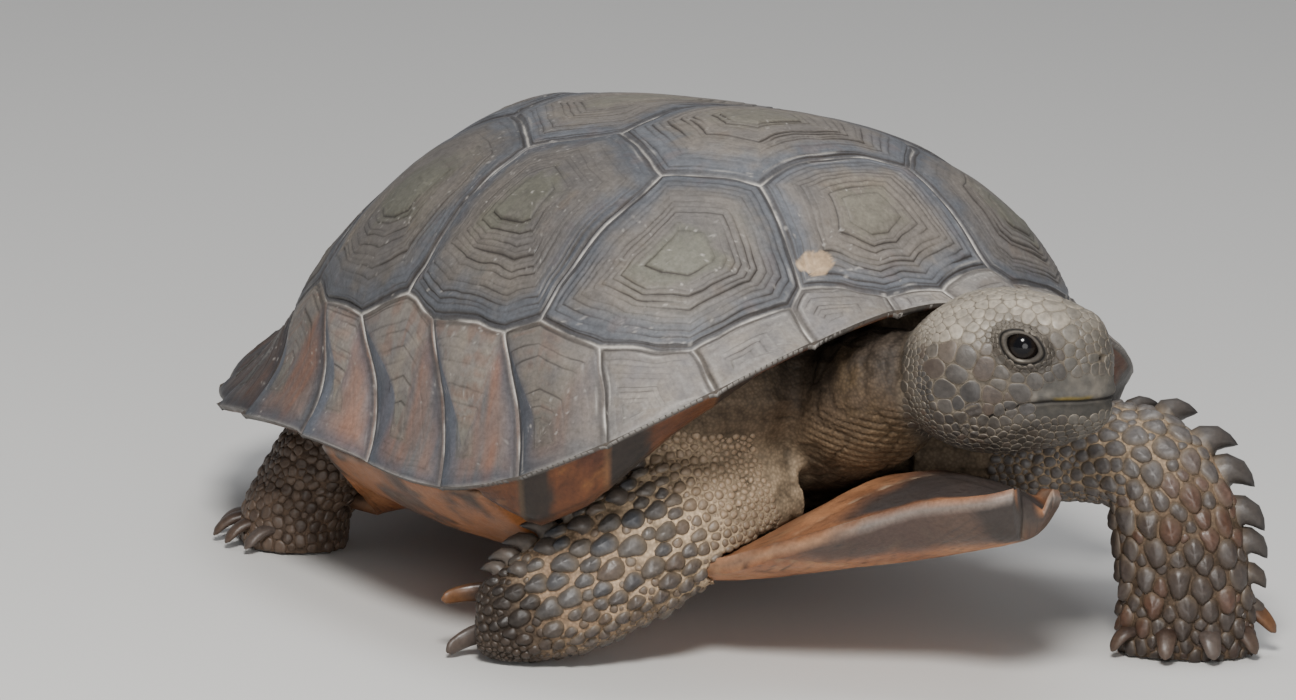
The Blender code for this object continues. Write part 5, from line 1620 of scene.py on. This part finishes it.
def limb_sizes(key, t, th, u):
    a = np.abs(th)
    if key == "front_right":
        s = np.interp(t, (0.2, 0.9, 1.4, 1.9, 2.4, 4.4, 5.0, 5.6, 7.0), (1.5, 1.9, 2.7, 4.4, 6.2, 6.0, 4.6, 3.0, 2.4))
        s = s * np.where((th > 20) | (th < -150), 0.72, 1.0)
        s = s * (1 - 0.35 * smooth(-95, -135, th) * smooth(2.0, 3.0, t))
    elif key == "front_left":
        s = np.interp(t, (0, 1.2, 2.0, 2.6, 3.4, 6.0, 7.0, 7.8, 9.0), (2.0, 2.6, 3.4, 5.0, 6.6, 6.4, 4.6, 3.2, 2.8))
        s = s * np.where(th < -60, 0.66, 1.0)
    else:
        s = np.interp(t, (0, 1.0, 2.0, 4.0, 5.5), (2.6, 2.8, 3.0, 3.2, 3.8))
    return s * 0.001 * S


SPURS = {
    # station, angle, width mm, length mm, how far it bends towards the foot in degrees
    "front_right": ((1.75, 6, 6.0, 6.0, 70), (2.2, 4, 7.2, 8.0, 70), (2.7, 2, 8.0, 10.0, 68), (3.2, 0, 8.4, 10.5, 66),
                    (3.7, 0, 8.4, 10.5, 66), (4.2, 0, 8.0, 10.0, 66), (4.7, 2, 7.4, 9.0, 66), (5.25, 0, 6.4, 7.0, 66),
                    (2.45, -36, 7.0, 6.0, 74), (3.1, -40, 7.4, 6.6, 74), (3.8, -38, 7.2, 6.4, 74), (4.5, -42, 6.4, 5.6, 74)),
    "front_left": ((2.1, 10, 8.6, 7.5, 74), (2.55, 6, 10.0, 9.5, 72), (3.0, 2, 11.6, 11.5, 70), (3.5, 0, 12.6, 12.5, 70),
                   (4.1, 0, 12.8, 12.5, 70), (4.75, 2, 12.0, 11.5, 70), (5.4, 0, 10.6, 10.0, 70), (6.05, 2, 8.4, 8.0, 70),
                   (6.7, 0, 6.4, 7.0, 62), (2.2, -84, 11.0, 10.5, 78), (2.95, -80, 10.0, 12.0, 74), (1.9, 60, 7.0, 5.0, 76)),
    "rear_right": (), "rear_left": ()}


def leg_colour_maker(key):
    L = LIMBS[key]

    def f_(p, n, z, g, i, f, cosq, v, rng):
        k = rng.random(4)
        t, th, rr = L.coords(unplace(np.asarray(p))[None])
        t, th = float(t[0]), float(th[0])
        small = float(smooth(0.0036, 0.0020, z))
        if key == "front_right":
            slate = mix((0.050, 0.052, 0.058), (0.110, 0.094, 0.080), k[0] ** 1.3)
            slate = mix(slate, (0.105, 0.070, 0.046), 0.6 * (k[3] > 0.82))
            slate = mix(slate, (0.330, 0.238, 0.155), float(smooth(2.1, 1.0, t)))
            slate = mix(slate, (0.260, 0.182, 0.118), 0.65 * small)
            slate = mix(slate * 0.86, (0.014, 0.010, 0.008), float(smooth(3.7, 4.9, t)) * 0.90)
            slate = mix(slate, (0.050, 0.034, 0.024), 0.6 * float(smooth(-95, -130, th)))
            edge = mix((0.300, 0.225, 0.148), (0.070, 0.048, 0.032), float(smooth(3.9, 5.0, t)))
        elif key == "front_left":
            slate = mix((0.098, 0.090, 0.086), (0.036, 0.026, 0.021), float(smooth(2.4, 5.0, t)) * 0.75 + 0.25 * k[0])
            slate = mix(slate, (0.085, 0.034, 0.016), 0.5 * (k[1] > 0.70) * float(smooth(3.0, 4.2, t)))
            slate = mix(slate, (0.019, 0.013, 0.010), float(smooth(6.2, 7.6, t)) * 0.75)
            edge = mix((0.380, 0.290, 0.195), (0.130, 0.092, 0.062), 0.3 * k[2] + 0.7 * float(smooth(3.2, 5.6, t)))
        else:
            slate = mix((0.098, 0.066, 0.046), (0.056, 0.038, 0.028), k[0])
            edge = mix((0.180, 0.122, 0.082), (0.120, 0.080, 0.055), k[2])
        if g["kind"] == "spur":
            big = float(g["Z"][i]) > 0.0086
            if key == "front_right":
                body, tipc = (0.072, 0.058, 0.048), (0.030, 0.028, 0.028)
            else:
                body, tipc = (((0.105, 0.040, 0.020), (0.070, 0.066, 0.064)) if th < -60 else ((0.052, 0.044, 0.039), (0.026, 0.023, 0.022))) if big else ((0.056, 0.044, 0.036), (0.032, 0.026, 0.022))
            c = mix(np.repeat(np.array(body)[None], len(f), 0), tipc, smooth(0.75, 0.30, f))
            c = mix(c, edge * 0.7, smooth(0.95, 1.0, f) * 0.6)
        else:
            c = mix(np.repeat(slate[None], len(f), 0), slate * 1.12, smooth(0.6, 0.2, f))
            warmth = smooth(0.60, 0.92, f) * (0.35 + 0.30 * np.clip(-cosq, 0, 1))
            c = mix(c, edge * 0.62, warmth)
            c = mix(c, edge, smooth(0.92, 1.0, f) * 0.75)
        c = c * (1 + 0.18 * fbm(v, 0.0015, 511, 2)[:, None] + 0.12 * fbm(v, 0.004, 512, 2)[:, None])
        return c
    return f_


def leg_coat(key):
    L = LIMBS[key]
    t, th, rr = L.coords(SU)
    own = rr < 1.35
    for k2, L2 in LIMBS.items():
        if k2 != key:
            own &= ~(L2.coords(SU)[2] < rr)
    own &= ~((SPH[:, 0] > -2) & (np.abs(SPH[:, 1]) < 27) & (SPH[:, 2] > -31))
    own &= NECK_L.coords(SU)[2] > 1.05
    if key == "front_right":
        mask = own & (t > 0.55)
    elif key == "front_left":
        mask = own & (t > 0.9)
    else:
        mask = own & (t > 0.8)
    mask &= SM.co[:, 2] > 0.0012
    size = limb_sizes(key, t, th, SU)
    rng = np.random.default_rng(31 + len(key))
    fixed, sp = [], []
    SPk = SPURS[key]
    for (ts, ths, zs, ls, bend) in SPk:
        i = int(np.clip(round(ts * L.per), 0, len(L.c) - 1))
        a = math.radians(ths)
        q = L.c[i] + L.w[i] * L.ab[i, 0] * math.cos(a) + L.d[i] * L.ab[i, 1] * math.sin(a)
        q, nq = SM.near(place(q))
        fixed.append((q, zs * 0.001 * S))
        dv = L.direction(ts)
        if ths < -60 and key == "front_left":
            dv = np.array([0.15, -0.1, -1.0])
        sp.append((q, nq, zs * 0.001 * S, dv, ls * 0.001 * S, bend))
    if key.startswith("front"):
        P, N, Z = scatter(mask.astype(float), size, rng, fixed, spacing=0.92, low=0.34, spread=0.80)
    else:
        P, N, Z = scatter(mask.astype(float), size, rng, fixed, spacing=0.86)
    tt, _, _ = L.coords(unplace(P))
    D = L.direction(tt)
    if key.startswith("front"):
        groups = [dict(P=P, N=N, Z=Z, dirs=D, kind="point", gap=0.00012, gapz=0.045 if key == "front_right" else 0.012, ext=0.55 if key == "front_right" else 0.30, keel=0.34, lean=0.22, tilt=0.42,
                       reach=0.66 if key == "front_right" else 0.78,
                       h=(lambda z: 0.00018 + 0.36 * max(0, z - 0.0012)) if key == "front_right" else (lambda z: 0.00018 + 0.30 * max(0, z - 0.0012)))]
    else:
        groups = [dict(P=P, N=N, Z=Z, dirs=D, kind="point", gap=0.00012, ext=0.12, keel=0.1,
                       h=lambda z: 0.00015 + 0.10 * z)]
    if sp:
        groups.append(dict(P=np.array([s[0] for s in sp]), N=np.array([s[1] for s in sp]), Z=np.array([s[2] for s in sp]),
                           dirs=np.array([s[3] for s in sp]), kind="spur", L=[s[4] for s in sp], bend=[s[5] for s in sp]))

    def uv(p):
        a, b, _ = L.coords(unplace(np.asarray(p))[None])
        return (0.02 + 0.96 * ((b[0] + 180) / 360), 0.02 + 0.96 * a[0] / (len(L.c) / L.per))
    nm = "coat_" + key
    ob = coat(nm, groups, uv, leg_colour_maker(key), "skin_leg")
    COATS.append((ob, "skin_leg"))


for key in LIMBS:
    leg_coat(key)


# ------------------------------------------------------------------ materials
def principled(name, rough=0.5):
    m = bpy.data.materials.new(name)
    m.use_nodes = True
    b = m.node_tree.nodes["Principled BSDF"]
    b.inputs["Roughness"].default_value = rough
    return m, m.node_tree, b


def nd(nt, kind, **kw):
    n = nt.nodes.new(kind)
    for k, v in kw.items():
        if k in n.inputs:
            n.inputs[k].default_value = v
        else:
            setattr(n, k, v)
    return n


def horn_material(name="horn", rough=(0.42, 0.62), fine=1.0):
    m, nt, b = principled(name)
    att = nd(nt, "ShaderNodeAttribute", attribute_name="Col")
    tc = nd(nt, "ShaderNodeTexCoord")
    n1 = nd(nt, "ShaderNodeTexNoise", Scale=900.0, Detail=4.0, Roughness=0.6)
    n2 = nd(nt, "ShaderNodeTexNoise", Scale=140.0, Detail=5.0, Roughness=0.62)
    nt.links.new(tc.outputs["Object"], n1.inputs["Vector"])
    nt.links.new(tc.outputs["Object"], n2.inputs["Vector"])
    mr = nd(nt, "ShaderNodeMapRange")
    mr.inputs["From Min"].default_value = 0.3
    mr.inputs["From Max"].default_value = 0.7
    mr.inputs["To Min"].default_value = 0.80
    mr.inputs["To Max"].default_value = 1.16
    nt.links.new(n1.outputs["Fac"], mr.inputs["Value"])
    mul = nd(nt, "ShaderNodeVectorMath", operation="MULTIPLY")
    nt.links.new(att.outputs["Color"], mul.inputs[0])
    nt.links.new(mr.outputs["Result"], mul.inputs[1])
    nt.links.new(mul.outputs["Vector"], b.inputs["Base Color"])
    rr = nd(nt, "ShaderNodeMapRange")
    rr.inputs["From Min"].default_value = 0.35
    rr.inputs["From Max"].default_value = 0.65
    rr.inputs["To Min"].default_value = rough[0]
    rr.inputs["To Max"].default_value = rough[1]
    nt.links.new(n2.outputs["Fac"], rr.inputs["Value"])
    nt.links.new(rr.outputs["Result"], b.inputs["Roughness"])
    bp = nd(nt, "ShaderNodeBump", Strength=0.35 * fine, Distance=0.0004)
    add_ = nd(nt, "ShaderNodeMath", operation="ADD")
    nt.links.new(n1.outputs["Fac"], add_.inputs[0])
    nt.links.new(n2.outputs["Fac"], add_.inputs[1])
    nt.links.new(add_.outputs["Value"], bp.inputs["Height"])
    nt.links.new(bp.outputs["Normal"], b.inputs["Normal"])
    b.inputs["IOR"].default_value = 1.5
    b.inputs["Specular IOR Level"].default_value = 0.36
    return m


MAT_HORN = horn_material()
for ob in pieces_horn:
    ob.data.materials.append(MAT_HORN)
    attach(ob, "root")
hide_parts("carapace")

MAT_SKIN = None


def skin_material():
    """Leathery skin: fine granules and creases over the painted ground."""
    m, nt, b = principled("skin")
    att = nd(nt, "ShaderNodeAttribute", attribute_name="Col")
    gra = nd(nt, "ShaderNodeAttribute", attribute_name="Grain")
    tc = nd(nt, "ShaderNodeTexCoord")
    vor = nd(nt, "ShaderNodeTexVoronoi", Scale=1050.0)
    vor.feature = "F1"
    n1 = nd(nt, "ShaderNodeTexNoise", Scale=420.0, Detail=5.0, Roughness=0.6)
    for n_ in (vor, n1):
        nt.links.new(tc.outputs["Object"], n_.inputs["Vector"])
    mr = nd(nt, "ShaderNodeMapRange")
    mr.inputs["From Min"].default_value = 0.15
    mr.inputs["From Max"].default_value = 0.75
    mr.inputs["To Min"].default_value = 1.12
    mr.inputs["To Max"].default_value = 0.68
    nt.links.new(vor.outputs["Distance"], mr.inputs["Value"])
    lerp = nd(nt, "ShaderNodeMapRange")
    lerp.inputs["To Min"].default_value = 1.0
    nt.links.new(gra.outputs["Fac"], lerp.inputs["Value"])
    nt.links.new(mr.outputs["Result"], lerp.inputs["To Max"])
    mr2 = nd(nt, "ShaderNodeMapRange")
    mr2.inputs["From Min"].default_value = 0.3
    mr2.inputs["From Max"].default_value = 0.7
    mr2.inputs["To Min"].default_value = 0.78
    mr2.inputs["To Max"].default_value = 1.18
    nt.links.new(n1.outputs["Fac"], mr2.inputs["Value"])
    pr = nd(nt, "ShaderNodeMath", operation="MULTIPLY")
    nt.links.new(lerp.outputs["Result"], pr.inputs[0])
    nt.links.new(mr2.outputs["Result"], pr.inputs[1])
    mul = nd(nt, "ShaderNodeVectorMath", operation="MULTIPLY")
    nt.links.new(att.outputs["Color"], mul.inputs[0])
    nt.links.new(pr.outputs["Value"], mul.inputs[1])
    nt.links.new(mul.outputs["Vector"], b.inputs["Base Color"])
    bp = nd(nt, "ShaderNodeBump", Strength=0.5, Distance=0.0004)
    nt.links.new(pr.outputs["Value"], bp.inputs["Height"])
    nt.links.new(bp.outputs["Normal"], b.inputs["Normal"])
    rr = nd(nt, "ShaderNodeMapRange")
    rr.inputs["To Min"].default_value = 0.50
    rr.inputs["To Max"].default_value = 0.78
    nt.links.new(n1.outputs["Fac"], rr.inputs["Value"])
    nt.links.new(rr.outputs["Result"], b.inputs["Roughness"])
    b.inputs["IOR"].default_value = 1.42
    b.inputs["Specular IOR Level"].default_value = 0.25
    return m


MAT_SKIN = skin_material()
skin.data.materials.clear()
skin.data.materials.append(MAT_SKIN)
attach(skin, "root")
plast.data.materials.append(horn_material("plastron_horn", (0.34, 0.52), 0.8))
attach(plast, "root")
MAT_SCALE = horn_material("scale", (0.34, 0.54), 0.8)
for ob, sl in COATS:
    ob.data.materials.append(MAT_SCALE)
    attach(ob, "root")


# ------------------------------------------------------------------ claws and eyes
CLAWS = {
    "claw_front_right_1": ((0.0415, -0.1045, 0.0200), (0.0352, -0.1178, 0.0180), 3.3, 2.5, (0.2, 0.1, 0.95)),
    "claw_front_right_2": ((0.0440, -0.1060, 0.0085), (0.0392, -0.1182, 0.0024), 3.5, 2.6, (0.2, 0.1, 0.95)),
    "claw_front_right_3": ((0.0400, -0.1015, 0.0140), (0.0310, -0.0965, 0.0085), 3.3, 2.4, (0.2, 0.1, 0.95)),
    "claw_front_right_4": ((0.0430, -0.1000, 0.0080), (0.0340, -0.0925, 0.0034), 3.3, 2.3, (0.5, 0.5, 0.6)),
    "claw_front_right_5": ((0.0500, -0.0955, 0.0060), (0.0430, -0.0855, 0.0030), 3.0, 2.1, (0.7, 0.6, 0.2)),
    "claw_front_left_1": ((0.1404, 0.0724, 0.0085), (0.1393, 0.0645, 0.0026), 3.2, 2.2, (0.95, 0.2, 0.0)),
    "claw_front_left_2": ((0.1490, 0.0784, 0.0095), (0.1563, 0.0720, 0.0027), 3.9, 2.4, (0.60, 0.80, 0.0)),
    "claw_front_left_3": ((0.1553, 0.0892, 0.0100), (0.1640, 0.0855, 0.0027), 4.3, 2.5, (0.50, 0.866, 0.0)),
    "claw_front_left_4": ((0.1560, 0.1000, 0.0105), (0.1650, 0.1025, 0.0027), 4.0, 2.4, (-0.1, 0.95, 0.2)),
    "claw_front_left_5": ((0.1532, 0.1056, 0.0165), (0.1615, 0.1135, 0.0075), 3.6, 2.5, (-0.4, 0.5, 0.7)),
    "claw_rear_right_1": ((-0.0995, -0.0800, 0.0080), (-0.1000, -0.0925, 0.0025), 3.0, 2.1, (0.98, 0.1, 0.0)),
    "claw_rear_right_2": ((-0.1075, -0.0815, 0.0085), (-0.1100, -0.0930, 0.0025), 3.1, 2.2, (0.97, -0.2, 0.0)),
    "claw_rear_right_3": ((-0.1155, -0.0795, 0.0085), (-0.1205, -0.0900, 0.0025), 3.1, 2.2, (0.9, -0.4, 0.0)),
    "claw_rear_right_4": ((-0.1215, -0.0745, 0.0080), (-0.1285, -0.0820, 0.0025), 2.9, 2.1, (0.75, -0.65, 0.0)),
}
for k in range(1, 5):
    r, t, hw, ht, fl = CLAWS["claw_rear_right_%d" % k]
    CLAWS["claw_rear_left_%d" % k] = ((r[0] + REAR_LEFT_SHIFT, -r[1] - 0.006, r[2]),
                                      (t[0] + REAR_LEFT_SHIFT, -t[1] - 0.006, t[2]), hw, ht, (fl[0], -fl[1], fl[2]))
MAT_CLAW = horn_material("claw_horn", (0.28, 0.48), 0.6)
for ci, (nm, (root, tip, hw, ht, fl)) in enumerate(CLAWS.items()):
    root, tip = np.array(root), np.array(tip)
    ax = tip - root
    w = np.array(fl, float)
    w = unit(w - ax * np.dot(w, ax) / np.dot(ax, ax))
    up = np.cross(unit(ax), w)
    if up[2] < 0:
        up = -up
    seg, st = 20, 14
    th = np.linspace(0, 2 * math.pi, seg, endpoint=False)
    blunt = 0.55 if "front_left" in nm else 0.42
    rows, cols = [], []
    for j in range(st):
        t = -0.18 + 1.16 * j / (st - 1)
        prof = 0.98 * (1 - blunt * max(0, t) ** 1.4)
        if t > 0.80:
            prof *= math.sqrt(max(0.0, 1 - ((t - 0.80) / 0.185) ** 2)) * 0.98 + 0.02
        c = root + ax * t + up * (0.0017 * math.sin(math.pi * max(t, 0)) - 0.0004 * max(t, 0))
        k = (np.abs(np.cos(th)) ** 2.3 + np.abs(np.sin(th)) ** 2.3) ** (-1 / 2.3)
        under = np.where(np.sin(th) < 0, 0.72, 1.0)
        row = c + w * (hw * 0.001 * prof * k * np.cos(th))[:, None] + up * (ht * 0.001 * prof * k * np.sin(th) * under)[:, None]
        rows.append(row)
        streak = 0.5 + 0.5 * np.sin(th * 5 + ci)
        warm_c = (0.120, 0.055, 0.024) if nm in ("claw_front_right_1", "claw_front_left_5") else (0.066, 0.044, 0.032)
        cc = mix((0.034, 0.020, 0.014), warm_c, np.full(seg, smooth(0.1, 0.8, t)) + 0.35 * (streak - 0.5))
        cc = mix(cc, (0.026, 0.020, 0.017), np.full(seg, 0.55 * float(smooth(0.35, 0.0, t))))
        if ci % 3 == 1:
            cc = mix(cc, (0.075, 0.062, 0.055), 0.5 * np.ones(seg))
        cols.append(cc)
    v = np.concatenate(rows + [[(rows[0]).mean(0)], [(rows[-1]).mean(0) + unit(ax) * 0.0001]])
    v[:, 2] = np.maximum(v[:, 2], 0.0003)
    n_ = seg * st
    tr = [(n_, (i + 1) % seg, i) for i in range(seg)] + [(n_ + 1, (st - 1) * seg + i, (st - 1) * seg + (i + 1) % seg) for i in range(seg)]
    ob = new_mesh(nm + "_horn", place(v), grid_faces(st, seg, True, 0), tr, np.concatenate(cols + [cols[0][:1], cols[-1][:1]]))
    bm = bmesh.new()
    bm.from_mesh(ob.data)
    bmesh.ops.recalc_face_normals(bm, faces=bm.faces)
    bm.to_mesh(ob.data)
    bm.free()
    ob.data.materials.append(MAT_CLAW)
    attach(ob, "root")
    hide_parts(nm)

me_, ent, eb = principled("eye_gloss", 0.10)
eatt = nd(ent, "ShaderNodeAttribute", attribute_name="Col")
etc = nd(ent, "ShaderNodeTexCoord")
en = nd(ent, "ShaderNodeTexNoise", Scale=1500.0, Detail=3.0)
ent.links.new(etc.outputs["Object"], en.inputs["Vector"])
emr = nd(ent, "ShaderNodeMapRange")
emr.inputs["To Min"].default_value = 0.6
emr.inputs["To Max"].default_value = 1.4
ent.links.new(en.outputs["Fac"], emr.inputs["Value"])
emul = nd(ent, "ShaderNodeVectorMath", operation="MULTIPLY")
ent.links.new(eatt.outputs["Color"], emul.inputs[0])
ent.links.new(emr.outputs["Result"], emul.inputs[1])
ent.links.new(emul.outputs["Vector"], eb.inputs["Base Color"])
eb.inputs["IOR"].default_value = 1.40
eb.inputs["Specular IOR Level"].default_value = 0.30
for nm, sy in (("eye_right", -1), ("eye_left", 1)):
    bm = bmesh.new()
    bmesh.ops.create_icosphere(bm, subdivisions=5, radius=EYE_R)
    v = np.array([x.co[:] for x in bm.verts])
    f = np.array([[x.index for x in p.verts] for p in bm.faces])
    bm.free()
    o = unit(np.array([0.24, sy * 0.95, 0.16]))
    al = v @ o / EYE_R
    ang = np.degrees(np.arccos(np.clip(al, -1, 1)))
    fibre = vnoise(np.cross(v, o) * 0.001 / np.maximum(np.sin(np.radians(ang)), 0.1)[:, None], 0.0006, 601)
    iris = smooth(24, 27, ang) * (1 - smooth(42, 46, ang))
    c = mix(np.repeat([[0.003, 0.003, 0.004]], len(v), 0), (0.010, 0.0065, 0.004), iris * (0.6 + 0.3 * fibre))
    c = mix(c, (0.006, 0.005, 0.005), smooth(44, 50, ang))
    ctr = np.array([EYE_AT[0], sy * EYE_AT[1], EYE_AT[2]])
    bulge = v * (1 + 0.02 * smooth(50, 20, ang))[:, None]
    ob = new_mesh(nm + "_ball", place(head_world(ctr + bulge)), None, f, c)
    ob.data.materials.append(me_)
    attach(ob, "root")
    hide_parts(nm)


# ------------------------------------------------------------------ floor, light, camera
me = bpy.data.meshes.new("floor")
F = 3.0
me.from_pydata([(-F, -F, 0), (F, -F, 0), (F, F, 0), (-F, F, 0)], [], [(0, 1, 2, 3)])
floor = bpy.data.objects.new("floor", me)
bpy.context.scene.collection.objects.link(floor)
fm, fnt, fb = principled("floor_pale", 0.85)
fb.inputs["Base Color"].default_value = (0.62, 0.61, 0.59, 1)
me.materials.append(fm)
floor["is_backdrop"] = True

world = bpy.data.worlds.new("studio")
bpy.context.scene.world = world
world.use_nodes = True
world.node_tree.nodes["Background"].inputs["Color"].default_value = (0.93, 0.95, 1.0, 1)
world.node_tree.nodes["Background"].inputs["Strength"].default_value = 0.30


def area(name, loc, aim, size, power, color=(1, 1, 1)):
    L = bpy.data.lights.new(name, "AREA")
    L.shape = "DISK"
    L.size = size
    L.energy = power
    L.color = color
    o = bpy.data.objects.new(name, L)
    o.location = loc
    o.rotation_euler = (Vector(aim) - Vector(loc)).to_track_quat("-Z", "Y").to_euler()
    bpy.context.scene.collection.objects.link(o)
    return o


area("key", (0.95, -0.85, 1.15), (0, 0, 0.07), 0.38, 34.0, (1.0, 0.985, 0.955))
area("top", (-0.1, 0.1, 1.6), (0, 0, 0.05), 1.0, 8.5, (0.95, 0.975, 1.0))
area("front", (1.45, -0.75, 0.30), (0.06, 0, 0.05), 0.8, 10.5, (1.0, 0.99, 0.97))

cam_data = bpy.data.cameras.new("camera")
cam_data.lens = 265.03
cam_data.sensor_width = 36.0
cam_data.clip_start = 0.05
cam_data.clip_end = 30
cam = bpy.data.objects.new("camera", cam_data)
bpy.context.scene.collection.objects.link(cam)
B = np.array([0.7587, -0.6192, 0.2023])
RI = np.array([0.6247, 0.7797, 0.0436])
B = unit(B)
UPV = unit(np.cross(B, RI))
RI = np.cross(UPV, B)
eye = place(np.array([2.2731, -1.8595, 0.7032]))
from mathutils import Matrix
cam.matrix_world = Matrix(((RI[0], UPV[0], B[0], eye[0]), (RI[1], UPV[1], B[1], eye[1]), (RI[2], UPV[2], B[2], eye[2]), (0, 0, 0, 1)))
cam_data.shift_x = -(669.12 - 648.0) / 1296.0
cam_data.shift_y = (289.90 - 350.0) / 1296.0
bpy.context.scene.camera = cam

lo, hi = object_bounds()
vis_lo, vis_hi = np.full(3, 1e9), np.full(3, -1e9)
for ob in bpy.data.objects:
    if ob.type == "MESH" and not ob.hide_render and ob.name != "floor":
        v, _ = mesh_arrays(ob)
        if len(v):
            vis_lo = np.minimum(vis_lo, v.min(0))
            vis_hi = np.maximum(vis_hi, v.max(0))
